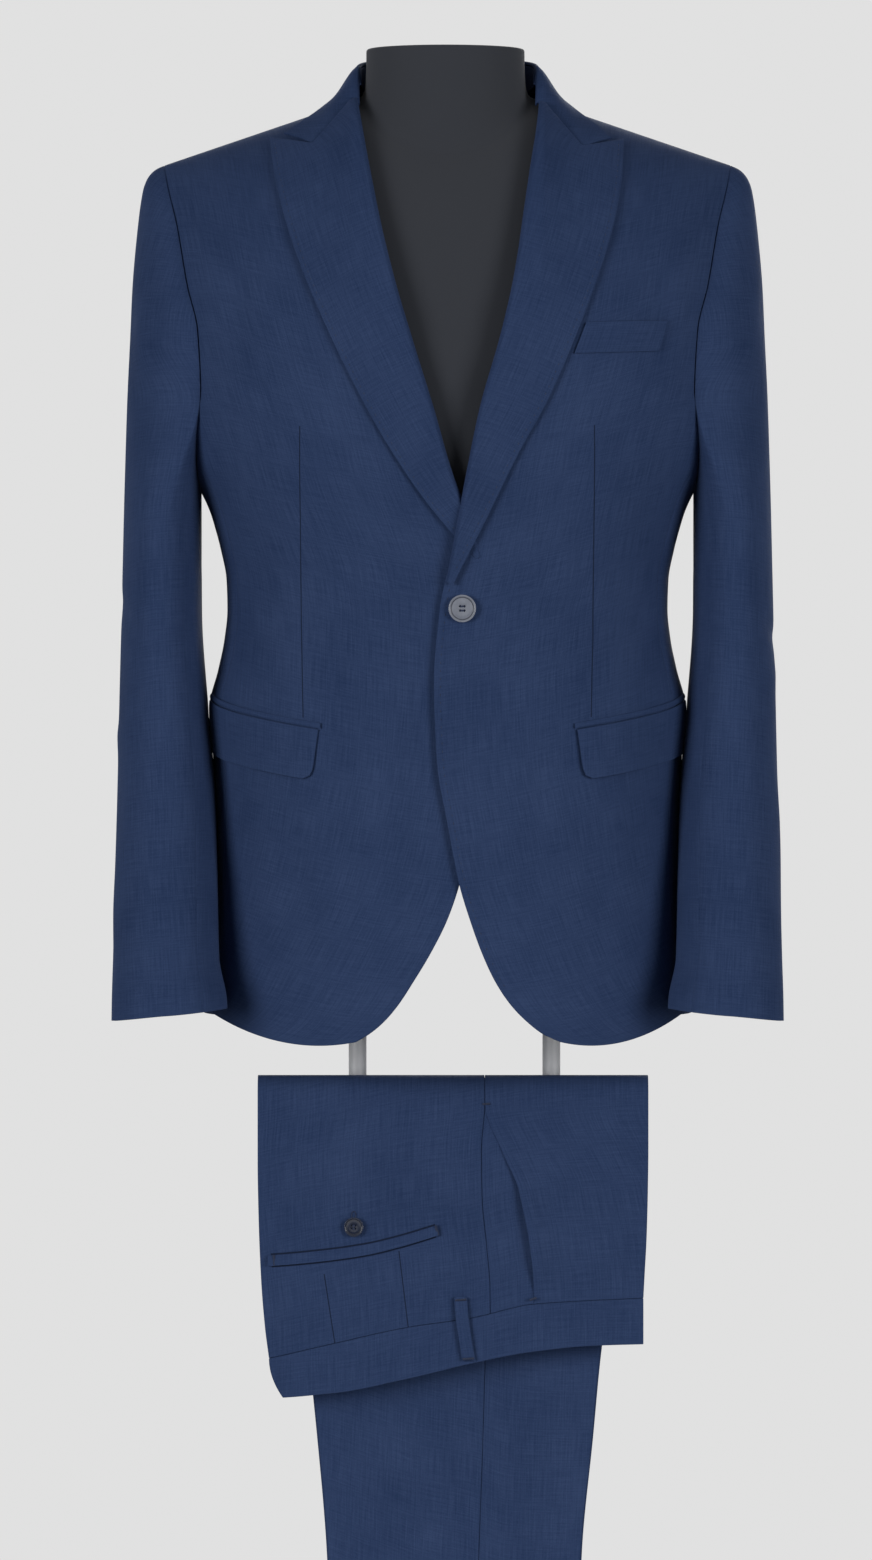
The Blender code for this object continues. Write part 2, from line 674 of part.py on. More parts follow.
def sleeve_normal(sign, turn, z):
    """Return the direction out of the sleeve."""
    step = 0.01
    around = sleeve_point(sign, turn + step, z) - sleeve_point(sign, turn - step, z)
    upward = sleeve_point(sign, turn, z + 0.001) - sleeve_point(sign, turn, z - 0.001)
    return (around.cross(upward) * sign).normalized()


def cuff_height(turn):
    """Return the height of the cuff's edge, lower on the outer side."""
    return 0.9045 - 0.0046 * cos(turn)


def beyond_seam(point, side, outward):
    """Keep a point on the outer (1) or inner (-1) side of the sleeve's seams."""
    seam = sleeve_start(point.z) + outward * 0.5 * GAP
    x = abs(point.x)
    x = max(x, seam) if outward > 0 else min(x, seam)
    return Vector((SIGN[side] * x, point.y, point.z))


def build_sleeve(side):
    """Top sleeve with its head, and the under sleeve inside the arm."""
    sign = SIGN[side]
    levels = (0.0, 0.06, 0.14, 0.24, 0.36, 0.48, 0.60, 0.66, 0.72, 0.775, 0.83, 0.875,
              0.915, 0.948, 0.972, 0.989, 1.0)
    margin = 0.006
    outer, inner = [], []
    for level in levels:
        outer_row, inner_row = [], []
        for share in steps(10):
            turn = mix(-pi / 2 + margin, pi / 2 - margin, share)
            z = mix(cuff_height(turn), 1.5575, level)
            point = sleeve_point(sign, turn, z)
            normal = sleeve_normal(sign, turn, z)
            outer_row.append(point)
            shrink = WALL * (1 - 0.35 * ramp(z, 1.54, 1.558))
            inner_row.append(beyond_seam(point - normal * shrink, side, 1))
        outer.append(outer_row)
        inner.append(inner_row)
    name = "topsleeve_" + side
    new_object(name, wall_mesh(name, outer, inner), "suit_cloth")
    outer, inner = [], []
    for level in (0.0, 0.08, 0.19, 0.32, 0.46, 0.60, 0.74, 0.87, 0.95, 1.0):
        outer_row, inner_row = [], []
        for share in steps(8):
            turn = mix(pi / 2 + 6 * margin, 1.5 * pi - 6 * margin, share)
            top = mix(UNDERARM_HEIGHT, SLEEVE_NOTCH_HEIGHT, abs(sin(turn)) ** 3) - 2 * GAP
            z = mix(cuff_height(turn), top, level)
            point = sleeve_point(sign, turn, z)
            outer_row.append(point)
            inner_row.append(beyond_seam(point - sleeve_normal(sign, turn, z) * WALL, side, -1))
        outer.append(outer_row)
        inner.append(inner_row)
    name = "undersleeve_" + side
    return new_object(name, wall_mesh(name, outer, inner), "suit_cloth")


# ------------------------------------------------------------- pockets, button
def patch_on_body(name, sign, rows, lift, thick, cols=8):
    """Build a flat piece on the body from rows of (turn, z) end pairs."""
    outer, inner = [], []
    for (turn_a, z_a), (turn_b, z_b) in rows:
        outer_row, inner_row = [], []
        for share in steps(cols):
            turn, z = mix(turn_a, turn_b, share), mix(z_a, z_b, share)
            point = side_point(sign, turn, z)
            normal = side_normal(sign, turn, z)
            outer_row.append(point + normal * (lift + thick))
            inner_row.append(point + normal * lift)
        outer.append(outer_row)
        inner.append(inner_row)
    return new_object(name, wall_mesh(name, outer, inner), "suit_cloth")


def front_turn(x, z):
    """Return the turn of a front place given by its distance from the middle."""
    return -acos((x / half_width(z)) ** (ROUNDNESS / 2))


def build_pockets():
    """Hip pocket flaps with the jettings above them, and the breast welt."""
    side_end = -radians(7)
    flap_rows = (            # front corner x and z, end z, end set back
        (0.0985, 1.1225, 1.1455, 0.0),
        (0.1005, 1.1080, 1.1310, 0.0),
        (0.1022, 1.0945, 1.1165, 0.0),
        (0.1047, 1.0875, 1.1075, 0.02),
        (0.1100, 1.0848, 1.1035, 0.06),
    )
    for side, sign in SIGN.items():
        rows = [((front_turn(x, z), z), (side_end - back, z_end)) for x, z, z_end, back in flap_rows]
        patch_on_body("hip_flap_" + side, sign, rows, LIFT, WALL)
        rows = [((front_turn(0.0968, z), z), (side_end + 0.01, z + 0.0235)) for z in (1.1275, 1.1229)]
        patch_on_body("hip_jetting_" + side, sign, rows, LIFT, 0.001)
    rows = [((front_turn(x, z), z), (front_turn(x_end, z_end), z_end)) for x, z, x_end, z_end in (
        (0.1055, 1.4335, 0.1685, 1.4362), (0.1010, 1.4215, 0.1655, 1.4245), (0.0965, 1.4097, 0.1617, 1.4125))]
    return patch_on_breast("breast_welt", rows)


def patch_on_breast(name, rows):
    """Build the breast welt on the left front's surface."""
    outer, inner = [], []
    for (turn_a, z_a), (turn_b, z_b) in rows:
        outer_row, inner_row = [], []
        for share in steps(5):
            z = mix(z_a, z_b, share)
            x = half_width(z) * cos(mix(turn_a, turn_b, share)) ** (2 / ROUNDNESS)
            base, normal = elevation_point(x, z), elevation_normal(x, z)
            outer_row.append(base + normal * (GAP + WALL))
            inner_row.append(base + normal * GAP)
        outer.append(outer_row)
        inner.append(inner_row)
    return new_object(name, wall_mesh(name, outer, inner), "suit_cloth")


def turned_mesh(name, profile, segments):
    """Spin a profile of (radius, height) points, closed on its axis."""
    bm = bmesh.new()
    ring = [bm.verts.new((r, 0.0, h)) for r, h in profile]
    edges = [bm.edges.new(pair) for pair in zip(ring, ring[1:])]
    bmesh.ops.spin(bm, geom=ring + edges, cent=(0, 0, 0), axis=(0, 0, 1),
                   angle=2 * pi, steps=segments, use_merge=True)
    bmesh.ops.remove_doubles(bm, verts=bm.verts, dist=1e-6)
    bmesh.ops.recalc_face_normals(bm, faces=bm.faces)
    if bm.calc_volume(signed=True) < 0:
        bmesh.ops.reverse_faces(bm, faces=bm.faces)
    mesh = bpy.data.meshes.new(name)
    bm.to_mesh(mesh)
    bm.free()
    mesh.shade_smooth()
    mesh.set_sharp_from_angle(angle=radians(35))
    return mesh


def build_button(name, radius, thick, finish, place, holes):
    """Round button with a rim; its axis points to the front."""
    rim = 0.78 * radius
    profile = ((0.0, 0.0), (0.72 * radius, 0.0), (radius, 0.35 * thick), (radius, 0.75 * thick),
               (0.92 * radius, thick), (rim, 0.86 * thick), (0.70 * radius, 0.72 * thick),
               (0.0, 0.70 * thick))
    button = new_object(name, turned_mesh(name, profile, 24), finish)
    button.location = place
    button.rotation_euler = (radians(90), 0.0, 0.0)
    for i in range(holes):
        angle = radians(45 + 90 * i)
        bpy.ops.mesh.primitive_cylinder_add(vertices=8, radius=0.095 * radius, depth=4 * thick,
                                            location=(0.22 * radius * cos(angle),
                                                      0.22 * radius * sin(angle), 0.0))
        cutter = bpy.context.active_object
        cutter.name = f"{name}_hole_cutter_{i + 1}"
        cutter.parent = button
        cutter.hide_render = True
        cutter.display_type = "WIRE"
        hole = button.modifiers.new("hole", "BOOLEAN")
        hole.operation = "DIFFERENCE"
        hole.object = cutter
    return button


# ------------------------------------------------------------- trousers
def bar_axis():
    """Return the height of the bar's axis below the top of the fold."""
    layers = 2 * TROUSER_WALL + INNER_LAYERS + 2 * GAP
    return FOLD_HEIGHT - BAR_RADIUS - BAR_EASE - layers


def over_bar(x, along, radius):
    """Return a point of a layer that hangs over the bar.

    along runs 0 to 1 up the waist part, 1 to 2 over the bar and 2 to 3 down the
    legs; radius is the layer's distance from the bar's axis.
    """
    axis = bar_axis()
    if along <= 1:
        z = mix(waist_seam(x) + 0.5 * GAP, axis, along)
        return Vector((x, -radius - sway(x, z), z))
    if along < 2:
        angle = pi * (along - 1)
        return Vector((x, -radius * cos(angle), axis + radius * sin(angle)))
    return Vector((x, radius, mix(axis, TROUSER_HEM, along - 2)))


def sway(x, z):
    """Return how far the waist part swings forward of the bar."""
    down = ramp(FOLD_HEIGHT - z, 0.02, 0.22)
    curl = 0.010 * ramp(-x, 0.115, 0.150)
    return down * (0.004 + 0.0015 * sin(28 * x) - curl)


def trouser_ends(along):
    """Return x of the back crease, side seam and front crease of the trousers."""
    names = ("right", "seam", "left")
    if along < 2:
        return [column(WAIST_PART, "share", name)(min(along, 1.0)) for name in names]
    z = mix(LEGS[0].height, TROUSER_HEM, along - 2)
    return [column(LEGS, "height", name)(z) for name in names]


def mouth_width(along):
    """Return how far the pocket mouth stands from the side seam."""
    return column(WAIST_PART, "share", "mouth")(min(along, 1.0))


def back_columns(along, inset):
    """Return x of the back panel's columns, close together near the crease."""
    crease, seam, _ = trouser_ends(along)
    return [mix(crease + inset, seam - 0.5 * GAP, share) for share in (0.0, 0.045, 0.09, 0.15, 0.3, 0.62, 1.0)]


def front_columns(along, inset, mouth=False):
    """Return x of the front panel's columns, from its side edge to the crease."""
    _, seam, crease = trouser_ends(along)
    start = seam + 0.5 * GAP + (mouth_width(along) if mouth else 0.0)
    fixed = seam + 0.5 * GAP + mouth_width(0.0) + 0.004
    return [start, fixed] + [mix(fixed, crease - inset, share) for share in (0.33, 0.67, 1.0)]


ALONG = (0.0, 0.12, 0.30, 0.54, 0.75, 0.97, 1.0, 1.17, 1.34, 1.5, 1.66, 1.83,
         2.0, 2.1, 2.24, 2.36, 2.5, 2.66, 2.83, 3.0)


def build_layer(name, columns_at, inner_radius, thick):
    """Build one trouser layer that runs from the waist over the bar to the hem."""
    outer = [[over_bar(x, along, inner_radius + thick) for x in columns_at(along)] for along in ALONG]
    inner = [[over_bar(x, along, inner_radius) for x in columns_at(along)] for along in ALONG]
    return new_object(name, wall_mesh(name, outer, inner), "suit_cloth")


def build_waistband(name, radius):
    """Half of the waistband, below the hanging waist seam."""
    places = back_columns(0.0, 0.0) + front_columns(0.0, 0.0)
    outer, inner = [], []
    for level in steps(2):
        outer_row, inner_row = [], []
        for place in places:
            x = place + 0.0108 * (1 - level) * ramp(-place, 0.09, 0.1383)
            z = mix(waist_edge(place), waist_seam(place) - 0.5 * GAP, level)
            lift = sway(x, z)
            outer_row.append(Vector((x, -radius - TROUSER_WALL - lift, z)))
            inner_row.append(Vector((x, -radius - lift, z)))
        outer.append(outer_row)
        inner.append(inner_row)
    return new_object(name, wall_mesh(name, outer, inner), "suit_cloth")


def build_trousers():
    """Trouser layers over the bar, waistband, pockets, loop and button."""
    right = BAR_RADIUS + BAR_EASE
    core = right + TROUSER_WALL + GAP
    left = core + INNER_LAYERS + GAP
    inset = 0.0012
    build_layer("trouser_right_back", lambda a: back_columns(a, inset), right, TROUSER_WALL)
    build_layer("trouser_right_front", lambda a: front_columns(a, inset), right, TROUSER_WALL)
    build_layer("trouser_inner_layers", lambda a: back_columns(a, inset / 2) + front_columns(a, inset / 2),
                core, INNER_LAYERS)
    build_layer("trouser_left_back", lambda a: back_columns(a, 0.0), left, TROUSER_WALL)
    build_layer("trouser_left_front", lambda a: front_columns(a, 0.0, mouth=True), left, TROUSER_WALL)
    build_pocket_facing(left)
    build_waistband("waistband_left", left)
    build_waistband("waistband_right", right)
    build_waist_pieces(left + TROUSER_WALL)


def build_pocket_facing(radius):
    """Facing that shows between the side seam and the slanted pocket mouth."""
    outer, inner = [], []
    for along in ALONG[:5]:
        start = trouser_ends(along)[1] + 0.5 * GAP
        end = start + mouth_width(along) - GAP
        outer.append([over_bar(x, along, radius + 0.0009) for x in (start, end)])
        inner.append([over_bar(x, along, radius) for x in (start, end)])
    name = "side_pocket_facing"
    return new_object(name, wall_mesh(name, outer, inner), "suit_cloth")


def strip_on_trousers(name, middle_line, half_height, radius, lift, thick):
    """Build a narrow strip along points (x, z) on the trousers' front."""
    outer, inner = [], []
    for x, z in middle_line:
        outer_row, inner_row = [], []
        for side in (-1, 1):
            height = z + side * half_height
            y = -radius - lift - sway(x, height)
            outer_row.append(Vector((x, y - thick, height)))
            inner_row.append(Vector((x, y, height)))
        outer.append(outer_row)
        inner.append(inner_row)
    return new_object(name, wall_mesh(name, outer, inner), "suit_cloth")


def build_waist_pieces(radius):
    """Belt loop, back pocket welt and back pocket button."""
    outer, inner = [], []
    for z, x, lift in ((0.6345, 0.0166, GAP), (0.6380, 0.0160, 0.0012), (0.6520, 0.0137, 0.0020),
                       (0.6700, 0.0112, 0.0018), (0.6840, 0.0100, 0.0012)):
        y = -radius - sway(x, z) - lift
        outer.append([Vector((x + side * 0.0052, y - 0.0016, z)) for side in (-1, 1)])
        inner.append([Vector((x + side * 0.0052, y, z)) for side in (-1, 1)])
    new_object("belt_loop", wall_mesh("belt_loop", outer, inner), "suit_cloth")
    welt = ((-0.1400, 0.7120), (-0.1300, 0.7128), (-0.1190, 0.7138), (-0.1050, 0.7150), (-0.0620, 0.7210),
            (-0.0370, 0.7270), (-0.0075, 0.7360))
    strip_on_trousers("back_pocket_welt", welt, 0.0042, radius, LIFT, 0.0010)
    x, z = -0.0725, 0.7383
    build_button("back_pocket_button", 0.0074, 0.0030, "dark_button",
                 (x, -radius - sway(x, z) - GAP - EASE, z), 0)


# ------------------------------------------------------------- form and stand
def form_dome(x, y):
    """Return the height of the form's shoulders over a point of its plan."""
    back = y > RIDGE_Y
    depth = (back_depth(1.45) - RIDGE_Y if back else front_depth(1.45) + RIDGE_Y) - FORM_EASE
    across = min(abs(x) / (half_width(1.45) - FORM_EASE), 1.0)
    depth = depth * (1 - across ** ROUNDNESS) ** (1 / ROUNDNESS)
    share = min(abs(y - RIDGE_Y) / depth, 1.0)
    drop = 1 - (1 - share ** SHOULDER_ROUND) ** (1 / SHOULDER_ROUND)
    hollow = 0.005 * ramp(0.118 - abs(x), 0.0, 0.03)
    return ridge(x) - (WALL + GAP) * 1.08 - hollow - rounding(x, back) * drop


def form_section(turn, z):
    """Return a point of the form's section, with flat ends at the arms."""
    back = sin(turn) > 0
    depth = (back_depth(z) if back else front_depth(z)) - FORM_EASE
    width = half_width(z) - FORM_EASE
    x = width * power(cos(turn), 2 / ROUNDNESS)
    y = depth * power(sin(turn), 2 / ROUNDNESS)
    if abs(x) > FORM_ARM_X:
        x = FORM_ARM_X * (1 if x > 0 else -1)
    return Vector((x, y, z))


def build_form():
    """Headless, limbless torso with a plain neck, closed all over."""
    segments = 36
    turns = [2 * pi * (i + 0.5) / segments for i in range(segments)]
    rings = []
    for z in (FORM_BOTTOM, 1.07, 1.12, 1.17, 1.216, 1.26, 1.31, 1.36, 1.40):
        rings.append([form_section(turn, z) for turn in turns])
    shoulder = [form_section(turn, 1.43) for turn in turns]
    neck = [Vector((FORM_NECK_CENTRE[0] + FORM_NECK[0] * cos(t),
                    FORM_NECK_CENTRE[1] + FORM_NECK[1] * sin(t), 0.0)) for t in turns]
    for share in (0.0, 0.08, 0.18, 0.32, 0.48, 0.64, 0.80, 0.92, 1.0):
        ring = []
        for start, end in zip(shoulder, neck):
            point = start.lerp(end, share)
            point.z = form_dome(point.x, point.y)
            ring.append(point)
        rings.append(ring)
    base = rings[-1]
    for share in (0.35, 0.7, 1.0):
        rings.append([Vector((p.x, p.y, mix(p.z, FORM_TOP, share))) for p in base])
    verts = [p for ring in rings for p in ring]
    faces = []
    for i in range(len(rings) - 1):
        for j in range(segments):
            k = (j + 1) % segments
            faces.append((i * segments + j, i * segments + k, (i + 1) * segments + k, (i + 1) * segments + j))
    faces.append(tuple(range(segments - 1, -1, -1)))
    last = (len(rings) - 1) * segments
    faces.append(tuple(range(last, last + segments)))
    return new_object("form_torso", finish_mesh("form_torso", verts, faces), "form_cloth")


def rounded_path(corners, bend, count=5):
    """Return points along straight runs with rounded corners."""
    points = [Vector(corners[0])]
    for before, corner, after in zip(corners, corners[1:], corners[2:]):
        corner = Vector(corner)
        back = (Vector(before) - corner).normalized()
        ahead = (Vector(after) - corner).normalized()
        for share in steps(count):
            a = corner + back * bend * (1 - share)
            b = corner + ahead * bend * share
            points.append(a.lerp(b, share))
    points.append(Vector(corners[-1]))
    return points


def build_rod(name, points, radius, finish, sides=12):
    """Build a round rod along points, with flat ends."""
    count = len(points)
    verts, faces = [], []
    across = None
    for i, point in enumerate(points):
        along = (points[min(i + 1, count - 1)] - points[max(i - 1, 0)]).normalized()
        if across is None:
            across = along.orthogonal().normalized()
        across = (across - along * across.dot(along)).normalized()
        other = along.cross(across)
        for j in range(sides):
            angle = 2 * pi * j / sides
            verts.append(point + (across * cos(angle) + other * sin(angle)) * radius)
    for i in range(count - 1):
        for j in range(sides):
            k = (j + 1) % sides
            faces.append((i * sides + j, i * sides + k, (i + 1) * sides + k, (i + 1) * sides + j))
    faces.append(tuple(range(sides - 1, -1, -1)))
    faces.append(tuple(range((count - 1) * sides, count * sides)))
    return new_object(name, finish_mesh(name, verts, faces), finish)


def build_base():
    """Base plate with round corners, resting flat on the floor."""
    width, depth, thick = BASE_SIZE
    corner_turns = 6
    outline = []
    for quarter, (sx, sy) in enumerate(((1, 1), (-1, 1), (-1, -1), (1, -1))):
        for i in range(corner_turns + 1):
            angle = 0.5 * pi * (quarter + i / corner_turns)
            outline.append((sx * (width / 2 - BASE_CORNER) + BASE_CORNER * cos(angle),
                            sy * (depth / 2 - BASE_CORNER) + BASE_CORNER * sin(angle)))
    count = len(outline)
    verts = [Vector((x, y, z)) for z in (0.0, thick) for x, y in outline]
    faces = [tuple(range(count - 1, -1, -1)), tuple(range(count, 2 * count))]
    faces += [(i, (i + 1) % count, count + (i + 1) % count, count + i) for i in range(count)]
    return new_object("base_plate", finish_mesh("base_plate", verts, faces), "pale_paint")


def build_stand():
    """Base plate, two posts up to the form, and the bar that the trousers hang on."""
    build_base()
    top = BASE_SIZE[2]
    foot_height = 0.010
    plate_thick = 0.008
    axis = bar_axis()
    for side, sign in SIGN.items():
        x = POST_X[side]
        profile = ((POST_RADIUS + GAP, 0.0), (0.020, 0.0), (0.020, 0.6 * foot_height),
                   (0.016, foot_height), (POST_RADIUS + GAP, foot_height))
        foot = new_object("post_foot_" + side, turned_mesh("post_foot_" + side, profile + profile[:1], 24),
                          "pale_paint")
        foot.location = (x, POST_Y, top + GAP)
        build_rod("post_" + side, [Vector((x, POST_Y, top + GAP)),
                                   Vector((x, POST_Y, FORM_BOTTOM - plate_thick - 2 * GAP))],
                  POST_RADIUS, "pale_paint", sides=20)
        arm_x = ARM_X[side]
        path = rounded_path(((x + sign * (POST_RADIUS + GAP), POST_Y, ARM_HEIGHT), (arm_x, POST_Y, ARM_HEIGHT),
                             (arm_x, 0.0, ARM_HEIGHT), (arm_x, 0.0, axis - BAR_RADIUS - GAP)), 0.012)
        build_rod("bar_arm_" + side, path, ARM_RADIUS, "pale_paint")
    build_rod("trouser_bar", [Vector((-0.1440, 0.0, axis)), Vector((0.1520, 0.0, axis))],
              BAR_RADIUS, "pale_paint", sides=20)
    plate = [Vector((p.x * 0.86, p.y * 0.86, 0.0)) for p in
             (form_section(2 * pi * i / 24, FORM_BOTTOM) for i in range(24))]
    verts = [p + Vector((0, 0, z)) for z in (FORM_BOTTOM - plate_thick - GAP, FORM_BOTTOM - GAP) for p in plate]
    faces = [tuple(range(23, -1, -1)), tuple(range(24, 48))]
    faces += [(i, (i + 1) % 24, 24 + (i + 1) % 24, 24 + i) for i in range(24)]
    return new_object("form_bottom_plate", finish_mesh("form_bottom_plate", verts, faces), "pale_paint")


def main():
    """Build the suit, the form and the stand."""
    for old in list(bpy.data.objects):
        bpy.data.objects.remove(old, do_unlink=True)
    for side in SIGN:
        build_front(side)
        build_side_panel(side)
        build_back(side)
        build_lapel(side)
        build_sleeve(side)
    build_collar()
    build_pockets()
    x, z = 0.0112, 1.215
    build_button("front_button", BUTTON_RADIUS, BUTTON_THICK, "horn_button",
                 (x, body_y(x, z, False) - 2 * GAP, z), 4)
    build_trousers()
    build_form()
    build_stand()


main()
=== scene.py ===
"""Looks of a navy two-piece suit on a headless dress form with its stand.

The jacket is worn by the form with one button closed, and the trousers hang
folded over a bar below it.  Every cloth piece is a thin sheet laid on the same
form as its solid in the frame, with its creases, seams and stitches.
Lengths are in metres, +Z is up and +X is the wearer's left.
"""
from __future__ import annotations

import json
import logging
from collections.abc import Callable, Iterator, Sequence
from contextlib import contextmanager
from dataclasses import dataclass, field
from enum import Enum
from math import cos, hypot, pi, radians, sin

import bpy
import numpy as np
from mathutils import Matrix, Vector

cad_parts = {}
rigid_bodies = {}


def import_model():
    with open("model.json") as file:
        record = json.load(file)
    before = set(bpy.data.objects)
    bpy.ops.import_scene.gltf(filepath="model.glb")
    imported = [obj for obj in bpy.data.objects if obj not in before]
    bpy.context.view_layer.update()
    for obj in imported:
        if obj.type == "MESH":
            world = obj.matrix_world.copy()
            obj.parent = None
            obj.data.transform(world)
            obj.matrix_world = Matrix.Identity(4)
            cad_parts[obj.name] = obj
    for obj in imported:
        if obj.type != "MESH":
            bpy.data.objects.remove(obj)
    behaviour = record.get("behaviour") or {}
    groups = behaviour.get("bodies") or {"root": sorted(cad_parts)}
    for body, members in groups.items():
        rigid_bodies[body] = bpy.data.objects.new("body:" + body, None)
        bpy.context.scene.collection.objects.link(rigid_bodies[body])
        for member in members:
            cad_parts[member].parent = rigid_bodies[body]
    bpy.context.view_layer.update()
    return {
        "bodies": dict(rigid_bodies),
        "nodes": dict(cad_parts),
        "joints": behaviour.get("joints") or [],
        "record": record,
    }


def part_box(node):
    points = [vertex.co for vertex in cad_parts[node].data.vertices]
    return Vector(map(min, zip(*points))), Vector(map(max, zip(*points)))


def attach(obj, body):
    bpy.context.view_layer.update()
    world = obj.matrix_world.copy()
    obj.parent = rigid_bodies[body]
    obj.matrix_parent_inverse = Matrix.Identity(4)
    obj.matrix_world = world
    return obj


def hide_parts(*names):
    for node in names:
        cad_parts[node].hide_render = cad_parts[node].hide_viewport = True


LOG = logging.getLogger("suit")
Array = np.ndarray
Place = Callable[[Array, Array], Array]

ROOT = "root"

# --------------------------------------------------------------- shared sizes
GAP = 0.0003               # clear width between neighbouring sheets
WALL = 0.0018              # thickness of the jacket's cloth
LEAF_WALL = 0.0016         # thickness of the lapels and the collar leaf
TRIM_WALL = 0.0009         # thickness of the narrow welts
TROUSER_WALL = 0.0015      # thickness of the trousers' cloth
LIFT = 0.0009              # clear height under a lapel or a flap
EDGE_ROUND = 0.00050       # rounding of every cut or turned cloth edge
HIP_HEIGHT = 0.884         # lowest point of the fronts' inner edge
NECK_POINT = 1.6205        # top of the fronts at the side of the neck
CREASE_FADE = (0.80, 0.93)     # shares of the half width over which creases die out
ROW_DRAW = 1.8             # how strongly the last rows of a grid are drawn together
FRONT_BUTTON = (0.0112, 1.2150)        # x and z of the buttons' axes
REAR_BUTTON = (-0.0725, 0.7383)


class Side(Enum):
    """A side of the wearer, with the sign of its x."""

    LEFT = 1
    RIGHT = -1

    @property
    def word(self) -> str:
        """Return the side's name as the frame's nodes spell it."""
        return self.name.lower()


class Held(Enum):
    """How a sheet of cloth is held."""

    HUNG = "hung"
    STRETCHED = "stretched"
    FOLDED = "folded"


# ------------------------------------------------------------- mathematics
class Course:
    """A value that runs smoothly through its knots and never overshoots."""

    def __init__(self, places: Sequence[float], values: Sequence[float]) -> None:
        """Work out the slope at each knot.

        Args:
            places: Where the knots are, rising.
            values: The value at each knot.
        """
        self.places = np.asarray(places, float)
        self.values = np.asarray(values, float)
        self.spans = np.diff(self.places)
        rates = np.diff(self.values) / self.spans
        before, after = rates[:-1], rates[1:]
        same_way = before * after > 0
        total = np.where(same_way, before + after, 1.0)
        inner = np.where(same_way, 2 * before * after / total, 0.0)
        self.slopes = np.concatenate([rates[:1], inner, rates[-1:]])

    def __call__(self, place: Array) -> Array:
        """Return the value at each place.

        Args:
            place: Places, held between the first and the last knot.

        Returns:
            One value for each place.
        """
        place = np.clip(place, self.places[0], self.places[-1])
        after = np.searchsorted(self.places, place, side="right")
        i = np.clip(after - 1, 0, len(self.spans) - 1)
        span = self.spans[i]
        u = (place - self.places[i]) / span
        rest = 1 - u
        first = self.values[i] * (1 + 2 * u) + self.slopes[i] * span * u
        second = self.values[i + 1] * (3 - 2 * u) + self.slopes[i + 1] * span * (u - 1)
        return first * rest**2 + second * u**2


def courses(rows: Sequence[Sequence[float]]) -> list[Course]:
    """Return a course for each later column of a table over its first one."""
    columns = list(zip(*sorted(rows)))
    return [Course(columns[0], column) for column in columns[1:]]


def along_rows(rows: Sequence[Sequence[float]],
               lengths: Sequence[float] | None = None) -> list[Course]:
    """Return a course for each column of a table over a share from 0 to 1.

    Args:
        rows: The table's rows, in order.
        lengths: How far apart the rows count as being, or evenly if left out.

    Returns:
        One course for each column.
    """
    gaps = np.asarray(lengths if lengths is not None else np.ones(len(rows) - 1), float)
    places = np.concatenate([[0.0], np.cumsum(gaps)]) / gaps.sum()
    return [Course(places, column) for column in zip(*rows)]


def mix(a: Array, b: Array, share: Array) -> Array:
    """Return the value that lies share of the way from a to b."""
    return a + (b - a) * share


def ramp(value: Array, start: float, end: float) -> Array:
    """Return 0 before start and 1 after end, with an even curve between."""
    u = np.clip((value - start) / (end - start), 0.0, 1.0)
    return u * u * (3 - 2 * u)


def drawn(share: Array, start: float) -> Array:
    """Return even shares, with those after start drawn together towards 1."""
    rest = 1 - start
    end = np.clip((share - start) / rest, 0.0, 1.0)
    return np.where(share < start, share, start + rest * (1 - (1 - end) ** ROW_DRAW))


def halve(low: Array, high: Array, below: Callable[[Array], Array], steps: int) -> Array:
    """Return where a test stops holding between low and high.

    Args:
        low: Values at which the test holds.
        high: Values at which it does not.
        below: The test.
        steps: How often the range is halved.

    Returns:
        The highest values found at which the test holds.
    """
    for _ in range(steps):
        middle = 0.5 * (low + high)
        held = below(middle)
        low, high = np.where(held, middle, low), np.where(held, high, middle)
    return low


def signed_power(base: Array, exponent: float) -> Array:
    """Return base to a power, keeping the sign of base."""
    return np.abs(base) ** exponent * np.sign(base)


def unit(vectors: Array) -> Array:
    """Return vectors with their length made one."""
    return vectors / np.maximum(np.linalg.norm(vectors, axis=-1, keepdims=True), 1e-12)


def points_of(x: Array, y: Array, z: Array) -> Array:
    """Return coordinates side by side, a point in each row."""
    return np.stack(np.broadcast_arrays(x, y, z), axis=-1).astype(float)


# ------------------------------------------------------------- creases, lines
@dataclass(frozen=True)
class Crease:
    """A soft ridge (or trough, if its height is below 0) along a bent line.

    The ends are places on the piece: across and up it, in metres.
    """

    start: tuple[float, float]
    end: tuple[float, float]
    height: float
    width: float
    bend: float = 0.0
    lee: float = 0.65       # how steep the far side is, as a share of width

    def relief(self, across: Array, up: Array) -> Array:
        """Return how far the crease lifts each place of the piece."""
        run = np.subtract(self.end, self.start)
        length = hypot(*run)
        a, b = across - self.start[0], up - self.start[1]
        share = np.clip((a * run[0] + b * run[1]) / length**2, 0.0, 1.0)
        off = (a * run[1] - b * run[0]) / length - self.bend * 4 * share * (1 - share)
        wide = np.where(off > 0, self.width, self.width * self.lee)
        return self.height * np.exp(-((off / wide) ** 2)) * np.sin(pi * share) ** 0.8


def relief(creases: Sequence[Crease], across: Array, up: Array) -> Array:
    """Return how far a set of creases lifts each place of a piece."""
    total = np.zeros_like(across)
    for crease in creases:
        total = total + crease.relief(across, up)
    return total


